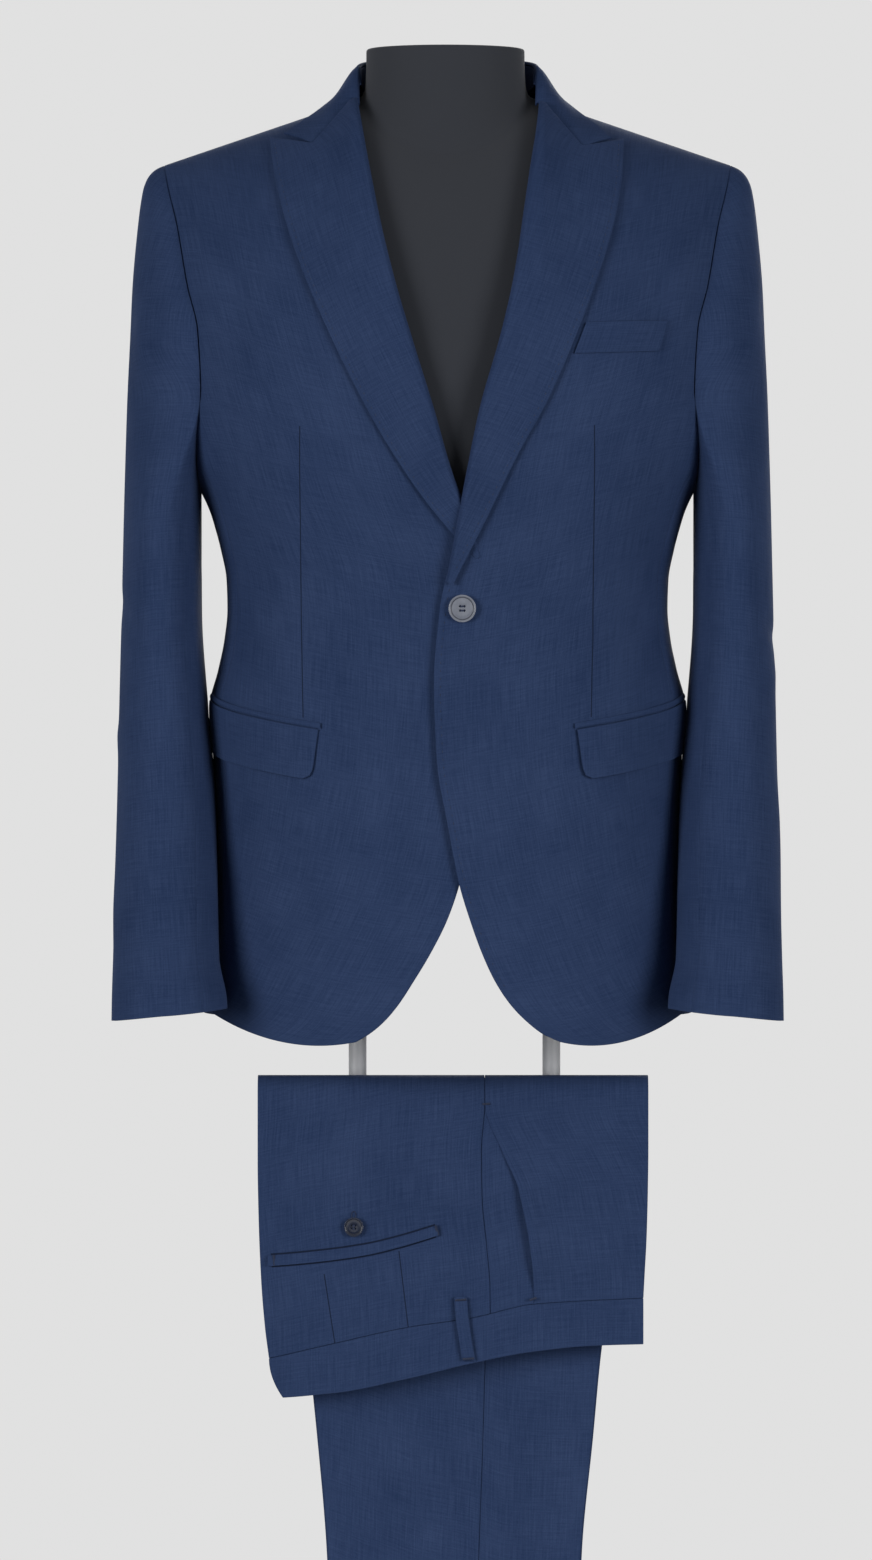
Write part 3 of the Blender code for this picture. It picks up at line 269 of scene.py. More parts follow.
@dataclass(frozen=True)
class SewnLine:
    """A seam or dart that shows as a fine line between two places."""

    start: tuple[float, float]
    end: tuple[float, float]
    bend: float = 0.0

    def distance(self, across: Array, up: Array) -> Array:
        """Return the signed distance to the line, or FAR past its ends."""
        run = np.subtract(self.end, self.start)
        length = hypot(*run)
        a, b = across - self.start[0], up - self.start[1]
        share = (a * run[0] + b * run[1]) / length**2
        inside = np.clip(share, 0.0, 1.0)
        off = (a * run[1] - b * run[0]) / length - self.bend * 4 * inside * (1 - inside)
        return np.where((share < 0) | (share > 1), FAR, off)


FAR = 1.0          # stands for no line nearby
LINE_COUNT = 3     # lines that one piece can carry
LINES_LAYER = "lines"
CLOTH_LAYER = "cloth"


# ------------------------------------------------------------- mesh helpers
def deselect() -> None:
    """Clear the selection, which an operator would act on."""
    if bpy.context.mode != "OBJECT":
        bpy.ops.object.mode_set(mode="OBJECT")
    bpy.ops.object.select_all(action="DESELECT")


def choose(obj: bpy.types.Object) -> None:
    """Make one object the only selected and active one."""
    deselect()
    obj.select_set(True)
    bpy.context.view_layer.objects.active = obj


@contextmanager
def edit_mode(select: str | None = None) -> Iterator[None]:
    """Hold the active piece in edit mode, all or none of it selected if asked for."""
    bpy.ops.object.mode_set(mode="EDIT")
    if select:
        bpy.ops.mesh.select_all(action=select)
    yield
    bpy.ops.object.mode_set(mode="OBJECT")


def apply_modifier(obj: bpy.types.Object, kind: str, **settings: object) -> None:
    """Add a modifier with its settings and apply it."""
    choose(obj)
    modifier = obj.modifiers.new(kind.lower(), kind)
    for name, value in settings.items():
        setattr(modifier, name, value)
    bpy.ops.object.modifier_apply(modifier=modifier.name)


def smooth_by_angle(obj: bpy.types.Object, degrees: float = 45.0) -> None:
    """Shade a piece smooth, except across edges sharper than an angle."""
    choose(obj)
    bpy.ops.object.shade_smooth_by_angle(angle=radians(degrees))


def settle(obj: bpy.types.Object, name: str) -> bpy.types.Object:
    """Put a piece's place into its mesh and name it."""
    choose(obj)
    bpy.ops.object.transform_apply(location=True, rotation=True, scale=True)
    obj.name = name
    obj.data.name = name
    return obj


def node_copy(frame: dict, node: str, name: str) -> bpy.types.Object:
    """Return a merged copy of a frame node's mesh as a new piece.

    Args:
        node: The node's name.
        name: The new piece's name.

    Returns:
        The new object, at the origin.
    """
    mesh = frame["nodes"][node].data.copy()
    mesh.materials.clear()
    piece = bpy.data.objects.new(name, mesh)
    bpy.context.scene.collection.objects.link(piece)
    choose(piece)
    with edit_mode("SELECT"):
        bpy.ops.mesh.remove_doubles(threshold=1e-5)
        bpy.ops.mesh.customdata_custom_splitnormals_clear()
        bpy.ops.mesh.tris_convert_to_quads(face_threshold=radians(50), shape_threshold=radians(60))
    return piece


@dataclass
class Sheet:
    """A laid sheet of cloth and the size it was cut to."""

    piece: bpy.types.Object
    width: float
    length: float
    area: float

    def declare(self, held: Held, rests_on: Sequence[str],
                trims: Sequence[bpy.types.Object] = ()) -> None:
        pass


def grid_lengths(grid: Array) -> tuple[Array, Array]:
    """Return how far each grid point is across and up its sheet."""
    across = np.linalg.norm(np.diff(grid, axis=1), axis=2)
    up = np.linalg.norm(np.diff(grid, axis=0), axis=2)
    across = np.concatenate([np.zeros((len(grid), 1)), np.cumsum(across, axis=1)], axis=1)
    up = np.concatenate([np.zeros((1, grid.shape[1])), np.cumsum(up, axis=0)], axis=0)
    return across, up


def grid_area(grid: Array) -> float:
    """Return the area of a grid of points, in square metres."""
    one = np.cross(grid[1:, :-1] - grid[:-1, :-1], grid[:-1, 1:] - grid[:-1, :-1])
    two = np.cross(grid[1:, :-1] - grid[1:, 1:], grid[:-1, 1:] - grid[1:, 1:])
    return float(0.5 * (np.linalg.norm(one, axis=2) + np.linalg.norm(two, axis=2)).sum())


def lay_sheet(name: str, cells: tuple[int, int], place: Place, outward: Callable[[Array], Array],
              wall: float = WALL, lines: Callable[[Array, Array], Array] | None = None,
              middle: float = 0.5) -> Sheet:
    """Lay a grid of cloth on a form and give it its thickness.

    Args:
        name: The piece's name.
        cells: How many cells the grid has across and up.
        place: Returns the outer face's points for shares across and up.
        outward: Returns a direction out of the cloth at each point.
        wall: The cloth's thickness, which lies inside the outer face.
        lines: Returns the signed distances to the sewn lines at each place.
        middle: The share across from which the cloth's grain is measured.

    Returns:
        The sheet with the size of its cut.
    """
    cols, rows = cells
    deselect()
    bpy.ops.mesh.primitive_grid_add(x_subdivisions=cols, y_subdivisions=rows, size=1.0)
    piece = bpy.context.active_object
    mesh = piece.data
    flat = np.empty(len(mesh.vertices) * 3)
    mesh.vertices.foreach_get("co", flat)
    across, up = flat[0::3] + 0.5, flat[1::3] + 0.5
    points = place(across, up)
    mesh.vertices.foreach_set("co", points.ravel())
    order = np.lexsort((np.round(across * cols), np.round(up * rows)))
    grid = points[order].reshape(rows + 1, cols + 1, 3)
    u, v = grid_lengths(grid)
    u = u - u[:, [round(middle * cols)]]
    weave = np.empty((len(points), 2))
    weave[order] = np.stack([u.ravel(), v.ravel()], axis=1)
    while mesh.uv_layers:
        mesh.uv_layers.remove(mesh.uv_layers[0])
    layer = mesh.uv_layers.new(name=CLOTH_LAYER)
    corners = np.empty(len(mesh.loops), int)
    mesh.loops.foreach_get("vertex_index", corners)
    layer.uv.foreach_set("vector", weave[corners].ravel())
    marks = np.full((len(points), LINE_COUNT), FAR)
    if lines is not None:
        found = lines(across, up)
        marks[:, :found.shape[1]] = found
    attribute = mesh.attributes.new(LINES_LAYER, "FLOAT_VECTOR", "POINT")
    attribute.data.foreach_set("vector", marks.ravel())
    mesh.update()
    normals = np.empty(len(mesh.vertices) * 3)
    mesh.vertices.foreach_get("normal", normals)
    if (normals.reshape(-1, 3) * outward(points)).sum() < 0:
        choose(piece)
        with edit_mode("SELECT"):
            bpy.ops.mesh.flip_normals()
    piece.name = name
    mesh.name = name
    apply_modifier(piece, "SOLIDIFY", thickness=wall, offset=-1.0, use_even_offset=False)
    apply_modifier(piece, "BEVEL", width=min(EDGE_ROUND, 0.3 * wall), segments=2, limit_method="ANGLE",
                   angle_limit=radians(50))
    smooth_by_angle(piece)
    length = u[:, -1] - u[:, 0]
    return Sheet(piece, float(length.max()), float(v[-1].max()), grid_area(grid))


def from_body_axis(points: Array) -> Array:
    """Return the direction away from the body's upright axis."""
    return points * (1.0, 1.0, 0.0)


# ------------------------------------------------------------- body
@dataclass
class Body:
    """The form of the worn jacket: oval sections closed by the shoulders."""

    roundness: float = 2.4
    shoulder_round: float = 1.8
    tip: float = 0.2197
    tip_height: float = 1.5608
    slope: float = 0.34
    neck: float = 0.0725
    neck_rise: float = 0.009         # how far the shoulder line sweeps up at the neck,
    rise_start: float = 0.110        # from where,
    rise_width: float = 0.035        # and over what width
    ridge_end: float = 0.25
    ridge_y: float = 0.010
    ridge_shift: tuple[float, float] = (1.36, 1.50)    # heights over which y moves to the ridge
    shoulder_foot: float = 1.45
    closing: float = 0.13            # height over which the shoulders close at their tips,
    closing_front: float = 0.07      # and what is added to it towards the neck
    closing_back: float = 0.01
    closing_span: float = 0.145
    front_creases: list[Crease] = field(default_factory=list)
    back_creases: list[Crease] = field(default_factory=list)
    sections: tuple[tuple[float, float, float, float], ...] = (
        # height, half width, front, back
        (0.880, 0.1905, 0.1310, 0.1420),
        (0.906, 0.1892, 0.1310, 0.1415),
        (0.948, 0.1860, 0.1305, 0.1400),
        (0.980, 0.1830, 0.1300, 0.1380),
        (1.014, 0.1808, 0.1285, 0.1345),
        (1.060, 0.1802, 0.1260, 0.1300),
        (1.100, 0.1815, 0.1225, 0.1230),
        (1.140, 0.1845, 0.1190, 0.1150),
        (1.170, 0.1775, 0.1160, 0.1070),
        (1.193, 0.1728, 0.1135, 0.1010),
        (1.216, 0.1705, 0.1120, 0.0975),
        (1.239, 0.1712, 0.1125, 0.0970),
        (1.262, 0.1755, 0.1145, 0.0990),
        (1.286, 0.1820, 0.1175, 0.1030),
        (1.309, 0.1892, 0.1205, 0.1080),
        (1.330, 0.1985, 0.1230, 0.1125),
        (1.380, 0.2145, 0.1265, 0.1195),
        (1.430, 0.2220, 0.1260, 0.1235),
        (1.500, 0.2280, 0.1225, 0.1230),
        (1.570, 0.2360, 0.1190, 0.1190),
        (1.640, 0.2400, 0.1170, 0.1170),
    )

    def __post_init__(self) -> None:
        """Read the sections as courses over height."""
        self.half_width, self.front, self.back = courses(self.sections)

    def ridge(self, x: Array) -> Array:
        """Return the height of the shoulder line at a distance from the middle."""
        x = np.clip(np.abs(x), self.neck, self.ridge_end)
        rise = self.neck_rise * (np.maximum(self.rise_start - x, 0.0) / self.rise_width) ** 2
        return self.tip_height + self.slope * (self.tip - x) + rise

    def depth(self, x: Array, z: Array, back: bool) -> Array:
        """Return y of the body over places of its elevation."""
        depth = (self.back if back else self.front)(z)
        across = np.minimum(np.abs(x) / self.half_width(z), 1.0)
        oval = (1 - across**self.roundness) ** (1 / self.roundness)
        inward = np.clip((self.tip - np.abs(x)) / self.closing_span, 0.0, 1.0)
        reach = self.closing + (self.closing_back if back else self.closing_front) * inward
        share = np.clip((self.ridge(x) - z) / reach, 0.0, 1.0)
        close = np.maximum(1 - (1 - share) ** self.shoulder_round, 0.0) ** (1 / self.shoulder_round)
        middle = self.ridge_y * ramp(z, *self.ridge_shift)
        sign = 1 if back else -1
        return middle + (depth - sign * middle) * oval * close * sign

    def wave(self, x: Array, z: Array, back: bool) -> Array:
        """Return how far the creases lift the cloth there."""
        inside = 1 - ramp(np.abs(x) / self.half_width(z), *CREASE_FADE)
        return relief(self.back_creases if back else self.front_creases, x, z) * inside

    def over(self, x: Array, z: Array, back: bool = False, lift: Array | float = 0.0,
             waves: bool = True) -> Array:
        """Return points above places of the elevation, moved out by lift.

        Args:
            x: Distances from the middle.
            z: Heights.
            back: Whether the places are on the back.
            lift: How far the points stand off the body.
            waves: Whether the creases move the points.

        Returns:
            A point in each row.
        """
        step = 0.0006
        y = self.depth(x, z, back)
        slope_x = (self.depth(x + step, z, back) - self.depth(x - step, z, back)) / (2 * step)
        slope_z = (self.depth(x, z + step, back) - self.depth(x, z - step, back)) / (2 * step)
        sign = 1.0 if back else -1.0
        normal = unit(points_of(-slope_x * sign, np.full_like(y, sign), -slope_z * sign))
        crest = (self.ridge(np.abs(x) + step) - self.ridge(np.abs(x) - step)) / (2 * step)
        upward = unit(points_of(-crest * np.sign(x), np.zeros_like(y), np.ones_like(y)))
        normal = np.where((self.ridge(x) - z < 2 * step)[..., None], upward, normal)
        rise = lift + (self.wave(x, z, back) if waves else 0.0)
        return points_of(x, y, z) + normal * np.broadcast_to(rise, y.shape)[..., None]

    def height(self, x: Array, y: Array) -> Array:
        """Return the height of the shoulders over places of their plan."""
        def inside(z: Array) -> Array:
            reach = np.where(y > self.ridge_y, self.depth(x, z, True) - self.ridge_y,
                             self.ridge_y - self.depth(x, z, False))
            return reach > np.abs(y - self.ridge_y)

        return halve(np.full_like(y, self.shoulder_foot), self.ridge(x), inside, 24)

    def above(self, x: Array, y: Array, lift: float) -> Array:
        """Return points over places of the shoulders' plan, moved out by lift."""
        step = 0.002
        slope_x = (self.height(x + step, y) - self.height(x - step, y)) / (2 * step)
        slope_y = (self.height(x, y + step) - self.height(x, y - step)) / (2 * step)
        normal = unit(points_of(-slope_x, -slope_y, np.ones_like(y)))
        return points_of(x, y, self.height(x, y)) + normal * lift

    def around(self, sign: int, turn: Array, z: Array, lift: Array | float = 0.0) -> Array:
        """Return points by their turn from the side, front < 0 < back."""
        def bare(turn: Array, z: Array) -> Array:
            power = 2 / self.roundness
            depth = np.where(turn > 0, self.back(z), self.front(z))
            return points_of(sign * self.half_width(z) * signed_power(np.cos(turn), power),
                             depth * signed_power(np.sin(turn), power), z)

        step = 0.002
        point = bare(turn, z)
        side = bare(turn + step, z) - bare(turn - step, z)
        up = bare(turn, z + step) - bare(turn, z - step)
        normal = unit(np.cross(side, up) * sign)
        x = point[..., 0]
        rise = lift + np.where(turn > 0, self.wave(x, z, True), self.wave(x, z, False))
        return point + normal * rise[..., None]

    def turn_at(self, share: Array) -> Array:
        """Return the turn from the side at a share of the half width."""
        return np.arccos(share ** (self.roundness / 2))


# ------------------------------------------------------------- finishes
class Graph:
    """Adds and joins nodes of a material or of a shader group."""

    def __init__(self, tree: bpy.types.NodeTree) -> None:
        """Start on an empty or existing node tree."""
        self.tree = tree

    def add(self, kind: str, **settings: object) -> bpy.types.Node:
        """Add a node of a kind and set its properties."""
        node = self.tree.nodes.new(kind)
        for name, value in settings.items():
            setattr(node, name, value)
        return node

    def join(self, source: object, target: object) -> None:
        """Feed one socket from another, or from a plain value."""
        if isinstance(source, (int, float, tuple)):
            target.default_value = source
        else:
            self.tree.links.new(source, target)

    def math(self, operation: str, a: object, b: object = 0.0,
             c: object = 0.0) -> bpy.types.NodeSocket:
        """Return the result of a Math node on up to three values."""
        node = self.add("ShaderNodeMath", operation=operation)
        for source, target in zip((a, b, c), node.inputs):
            self.join(source, target)
        return node.outputs[0]

    def noise(self, vector: object, detail: float = 2.0, scale: float = 1.0) -> bpy.types.NodeSocket:
        """Return noise of a scale read at a vector."""
        node = self.add("ShaderNodeTexNoise")
        node.inputs["Scale"].default_value = scale
        node.inputs["Detail"].default_value = detail
        self.join(vector, node.inputs["Vector"])
        return node.outputs["Fac"]

    def vector(self, x: object, y: object, z: object = 0.0) -> bpy.types.NodeSocket:
        """Return a vector put together from three values."""
        node = self.add("ShaderNodeCombineXYZ")
        for source, target in zip((x, y, z), node.inputs):
            self.join(source, target)
        return node.outputs[0]

    def blend(self, share: object, first: object, second: object) -> bpy.types.NodeSocket:
        """Return a colour mixed from two by a share."""
        node = self.add("ShaderNodeMix", data_type="RGBA")
        self.join(share, node.inputs[0])
        self.join(first, node.inputs[6])
        self.join(second, node.inputs[7])
        return node.outputs[2]

    def position(self) -> bpy.types.NodeSocket:
        """Return the place on the piece, in the piece's own frame."""
        return self.add("ShaderNodeTexCoord").outputs["Object"]

    def split(self, vector: object) -> tuple[bpy.types.NodeSocket, ...]:
        """Return the three values of a vector."""
        node = self.add("ShaderNodeSeparateXYZ")
        self.join(vector, node.inputs[0])
        return tuple(node.outputs)

    def remap(self, value: object, start: object, end: object, low: float = 0.0, high: float = 1.0,
              kind: str = "SMOOTHSTEP") -> bpy.types.NodeSocket:
        """Return a value carried from start and end to low and high, and held there."""
        node = self.add("ShaderNodeMapRange", interpolation_type=kind)
        for source, target in zip((value, start, end, low, high), node.inputs):
            self.join(source, target)
        return node.outputs[0]

    def group(self, tree: bpy.types.NodeTree, **inputs: object) -> bpy.types.Node:
        """Place a shader group and feed its inputs by name."""
        node = self.add("ShaderNodeGroup")
        node.node_tree = tree
        for name, source in inputs.items():
            self.join(source, node.inputs[name.replace("_", " ").capitalize()])
        return node


def shader_group(name: str, inputs: Sequence[tuple[str, str]], outputs: Sequence[str]) -> tuple:
    """Start a shader group with named sockets.

    Args:
        name: The group's name.
        inputs: The name and kind of each input, such as ("Size", "Float").
        outputs: The names of its outputs, which are all values.

    Returns:
        The tree, a Graph on it, and its input and output nodes.
    """
    tree = bpy.data.node_groups.new(name, "ShaderNodeTree")
    for label, kind in inputs:
        tree.interface.new_socket(label, in_out="INPUT", socket_type="NodeSocket" + kind)
    for label in outputs:
        tree.interface.new_socket(label, in_out="OUTPUT", socket_type="NodeSocketFloat")
    graph = Graph(tree)
    return tree, graph, graph.add("NodeGroupInput"), graph.add("NodeGroupOutput")


TONE_RANGE = (0.36, 0.64)   # spread of the summed streaks that becomes 0 to 1
LINE_CORE = 0.35            # share of a sewn line's width that is fully dark


def weave_group() -> bpy.types.NodeTree:
    """Make the group for plain-woven yarn of uneven tone.

    Its input is a place on the cloth in metres and the width of a thread; its
    outputs are the height of the weave, and the tone of the yarn from 0 to 1.
    """
    tree, graph, source, sink = shader_group("woven_yarn", (("Cloth", "Vector"), ("Thread", "Float")),
                                             ("Height", "Tone"))
    across, up, _ = graph.split(source.outputs["Cloth"])
    thread = source.outputs["Thread"]

    def waves(value: object) -> bpy.types.NodeSocket:
        return graph.math("SINE", graph.math("DIVIDE", graph.math("MULTIPLY", value, pi), thread))

    basket = graph.math("MULTIPLY", waves(across), waves(up))
    graph.join(graph.math("MULTIPLY_ADD", basket, 0.5, 0.5), sink.inputs["Height"])

    def streaks(wide: float, long: float, detail: float, shift: float) -> bpy.types.NodeSocket:
        return graph.noise(graph.vector(graph.math("DIVIDE", across, wide),
                                        graph.math("DIVIDE", up, long), shift), detail)

    layers = (            # streak across, streak up, detail, shift, share of the tone
        (0.0011, 0.030, 2.0, 0.0, 0.34),
        (0.024, 0.0011, 2.0, 7.0, 0.26),
        (0.0014, 0.0014, 2.0, 13.0, 0.18),
        (0.045, 0.060, 1.0, 19.0, 0.22),
    )
    total: object = 0.0
    for wide, long, detail, shift, part in layers:
        total = graph.math("MULTIPLY_ADD", streaks(wide, long, detail, shift), part, total)
    graph.join(graph.remap(total, *TONE_RANGE, kind="LINEAR"), sink.inputs["Tone"])
    return tree


def line_group() -> bpy.types.NodeTree:
    """Make the group that marks where a piece's sewn lines run, and the painted shadow lines at the
    back pocket's slit.
    """
    names = ("First", "Second", "Third")
    tree, graph, source, sink = shader_group(
        "sewn_lines", (("Lines", "Vector"), *((name, "Float") for name in names)), ("Mask",))
    mask: object = 0.0
    for name, off in zip(names, graph.split(source.outputs["Lines"])):
        near = graph.math("DIVIDE", graph.math("ABSOLUTE", off), source.outputs[name])
        mask = graph.math("MAXIMUM", mask, graph.remap(near, LINE_CORE, 1.0, 1.0, 0.0))
    graph.join(mask, sink.inputs["Mask"])
    return tree


def start_material(name: str) -> tuple[bpy.types.Material, Graph, bpy.types.Node]:
    """Return a new material, its graph and its Principled shader."""
    material = bpy.data.materials.new(name)
    material.use_nodes = True
    return material, Graph(material.node_tree), material.node_tree.nodes["Principled BSDF"]


def tune(shader: bpy.types.Node, values: dict[str, object]) -> None:
    """Set a shader's plain inputs by their names."""
    for name, value in values.items():
        shader.inputs[name].default_value = value


def add_bump(graph: Graph, shader: bpy.types.Node, height: object, strength: float,
             distance: float) -> None:
    """Feed a shader's normal from a height."""
    bump = graph.add("ShaderNodeBump")
    tune(bump, {"Strength": strength, "Distance": distance})
    graph.join(height, bump.inputs["Height"])
    graph.join(bump.outputs[0], shader.inputs["Normal"])


Colour = tuple[float, float, float, float]
BLACK = (0.0, 0.0, 0.0, 1.0)


@dataclass(frozen=True)
class Worsted:
    """Matte navy worsted wool, plain woven from yarn of uneven tone."""

    name: str = "navy_worsted"
    dark: Colour = (0.0185, 0.0378, 0.1010, 1.0)
    light: Colour = (0.0378, 0.0650, 0.1520, 1.0)
    # colour of the sewn lines, and on the slit-shadow cloth also of the painted shadow at the back
    # pocket's slit
    line: Colour = (0.0060, 0.0105, 0.0270, 1.0)
    thread: float = 0.00048
    line_widths: tuple[float, float, float] = (0.0006, 0.0006, 0.0006)

    def make(self, weave: bpy.types.NodeTree, lines: bpy.types.NodeTree) -> bpy.types.Material:
        """Return the cloth's material."""
        material, graph, shader = start_material(self.name)
        cloth = graph.add("ShaderNodeUVMap", uv_map=CLOTH_LAYER)
        marks = graph.add("ShaderNodeAttribute", attribute_name=LINES_LAYER)
        yarn = graph.group(weave, cloth=cloth.outputs[0], thread=self.thread)
        sewn = graph.group(lines, lines=marks.outputs["Vector"], first=self.line_widths[0],
                           second=self.line_widths[1], third=self.line_widths[2])
        tone = graph.blend(yarn.outputs["Tone"], self.dark, self.light)
        # sewn lines darken the tone; the third line of the slit-shadow cloth is painted shadow
        colour = graph.blend(graph.math("MULTIPLY", sewn.outputs["Mask"], 0.85), tone, self.line)
        graph.join(colour, shader.inputs["Base Color"])
        rough = graph.math("MULTIPLY_ADD", yarn.outputs["Tone"], -0.10, 0.86)
        graph.join(rough, shader.inputs["Roughness"])
        tune(shader, {"Sheen Weight": 0.04, "Sheen Roughness": 0.45,
                      "Sheen Tint": (0.45, 0.55, 0.80, 1.0), "Specular IOR Level": 0.12})
        raised = graph.math("MULTIPLY_ADD", yarn.outputs["Tone"], 0.5, yarn.outputs["Height"])
        height = graph.math("MULTIPLY_ADD", sewn.outputs["Mask"], -3.0, raised)
        add_bump(graph, shader, height, 0.35, 0.0002)
        return material


@dataclass(frozen=True)
class Jersey:
    """Charcoal knitted cover of the dress form."""

    name: str = "charcoal_jersey"
    dark: Colour = (0.0190, 0.0220, 0.0300, 1.0)
    light: Colour = (0.0310, 0.0350, 0.0450, 1.0)
    ribs: float = 640.0              # angle of the rib wave for each radian around
    rows: float = 6500.0             # angle of the row wave for each metre up
    flecks: tuple[float, float] = (90.0, 900.0)

    def make(self) -> bpy.types.Material:
        """Return the cover's material, knitted in fine upright ribs."""
        material, graph, shader = start_material(self.name)
        x, y, z = graph.split(graph.position())
        turn = graph.math("ARCTAN2", y, x)
        rib = graph.math("SINE", graph.math("MULTIPLY", turn, self.ribs))
        row = graph.math("SINE", graph.math("MULTIPLY", z, self.rows))
        stitch = graph.math("MULTIPLY", rib, row)
        spots = (graph.math("MULTIPLY", way, scale) for way, scale in zip((turn, z), self.flecks))
        fleck = graph.noise(graph.vector(*spots), 3.0)
        graph.join(graph.blend(fleck, self.dark, self.light), shader.inputs["Base Color"])
        graph.join(graph.math("MULTIPLY_ADD", fleck, 0.1, 0.83), shader.inputs["Roughness"])
        tune(shader, {"Sheen Weight": 0.12})
        add_bump(graph, shader, graph.math("MULTIPLY_ADD", stitch, 0.4, fleck), 0.25, 0.0002)
        return material


@dataclass(frozen=True)
class Resin:
    """Polished button resin, marbled, with painted shade darkening the groove inside the rim."""

    name: str
    dark: Colour
    light: Colour
    groove_shade: Colour
    centre: tuple[float, float]      # x and z of the button's axis
    groove_radius: float
    groove_width: float
    marbling: tuple[float, float, float] = (260.0, 120.0, 90.0)    # over x, z and radius

    def make(self) -> bpy.types.Material:
        """Return the button's material."""
        material, graph, shader = start_material(self.name)
        x, _, z = graph.split(graph.position())
        x = graph.math("SUBTRACT", x, self.centre[0])
        z = graph.math("SUBTRACT", z, self.centre[1])
        square = graph.math("ADD", graph.math("MULTIPLY", x, x), graph.math("MULTIPLY", z, z))
        radius = graph.math("SQRT", square)
        veins = (graph.math("MULTIPLY", way, scale)
                 for way, scale in zip((x, z, radius), self.marbling))
        marble = graph.blend(graph.noise(graph.vector(*veins), 4.0), self.dark, self.light)
        # painted shade: a dark ring laid in the groove of the disc
        off = graph.math("ABSOLUTE", graph.math("SUBTRACT", radius, self.groove_radius))
        ring = graph.remap(off, 0.0, self.groove_width, 1.0, 0.0)
        graph.join(graph.blend(ring, marble, self.groove_shade), shader.inputs["Base Color"])
        graph.join(graph.math("MULTIPLY_ADD", ring, 0.3, 0.24), shader.inputs["Roughness"])
        tune(shader, {"Coat Weight": 0.35, "Coat Roughness": 0.12})
        return material


@dataclass(frozen=True)
class Thread:
    """Twisted sewing thread, a little darker than the cloth."""

    name: str = "navy_thread"
    dark: Colour = (0.0085, 0.0150, 0.0420, 1.0)
    light: Colour = (0.0200, 0.0340, 0.0840, 1.0)

    def make(self) -> bpy.types.Material:
        """Return the thread's material."""
        material, graph, shader = start_material(self.name)
        twist = graph.noise(graph.position(), scale=2600.0)
        graph.join(graph.blend(twist, self.dark, self.light), shader.inputs["Base Color"])
        graph.join(graph.math("MULTIPLY_ADD", twist, 0.15, 0.55), shader.inputs["Roughness"])
        add_bump(graph, shader, twist, 0.4, 0.0001)
        return material


@dataclass(frozen=True)
class Powder:
    """Satin powder coat on the stand's metal."""

    name: str = "pale_powder_coat"
    dark: Colour = (0.66, 0.665, 0.675, 1.0)
    light: Colour = (0.74, 0.745, 0.755, 1.0)

    def make(self) -> bpy.types.Material:
        """Return the coat's material, with a fine orange-peel grain."""
        material, graph, shader = start_material(self.name)
        where = graph.position()
        grain, broad = graph.noise(where, scale=900.0), graph.noise(where, scale=9.0)
        graph.join(graph.blend(broad, self.dark, self.light), shader.inputs["Base Color"])
        graph.join(graph.math("MULTIPLY_ADD", grain, 0.12, 0.38), shader.inputs["Roughness"])
        add_bump(graph, shader, grain, 0.2, 0.0002)
        return material


class Cupboard:
    """Every finished material, made once."""

    def __init__(self) -> None:
        """Make the shared groups and the materials."""
        weave, lines = weave_group(), line_group()
        self.cloth = Worsted().make(weave, lines)
        # the same cloth, whose third line is widened to paint the shadow at the back pocket's slit and
        # along its welt's top edge
        pocket = Worsted("navy_worsted_slit_shadow", line_widths=(0.0006, 0.0006, 0.0010))
        self.slit_shadow_cloth = pocket.make(weave, lines)
        self.jersey = Jersey().make()
        self.thread = Thread().make()
        self.powder = Powder().make()
        # each groove colour paints shade into the button's groove
        self.horn = Resin("grey_horn_resin", dark=(0.145, 0.158, 0.195, 1.0),
                          light=(0.265, 0.285, 0.340, 1.0), groove_shade=(0.012, 0.015, 0.028, 1.0),
                          centre=FRONT_BUTTON, groove_radius=0.0085, groove_width=0.0007).make()
        self.dark = Resin("dark_navy_resin", dark=(0.007, 0.011, 0.026, 1.0),
                          light=(0.022, 0.030, 0.058, 1.0), groove_shade=(0.004, 0.005, 0.012, 1.0),
                          centre=REAR_BUTTON, groove_radius=0.0056, groove_width=0.0006).make()


def dress(piece: bpy.types.Object, material: bpy.types.Material,
          nodes: Sequence[str] = ()) -> None:
    """Give a piece its material and say which nodes it stands for.

    Args:
        piece: The finished piece.
        material: Its material.
        nodes: The frame nodes that it replaces.
    """
    piece.data.materials.clear()
    piece.data.materials.append(material)
    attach(piece, ROOT)
    if nodes:
        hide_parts(*nodes)
    LOG.info("%s: %d faces", piece.name, len(piece.data.polygons))


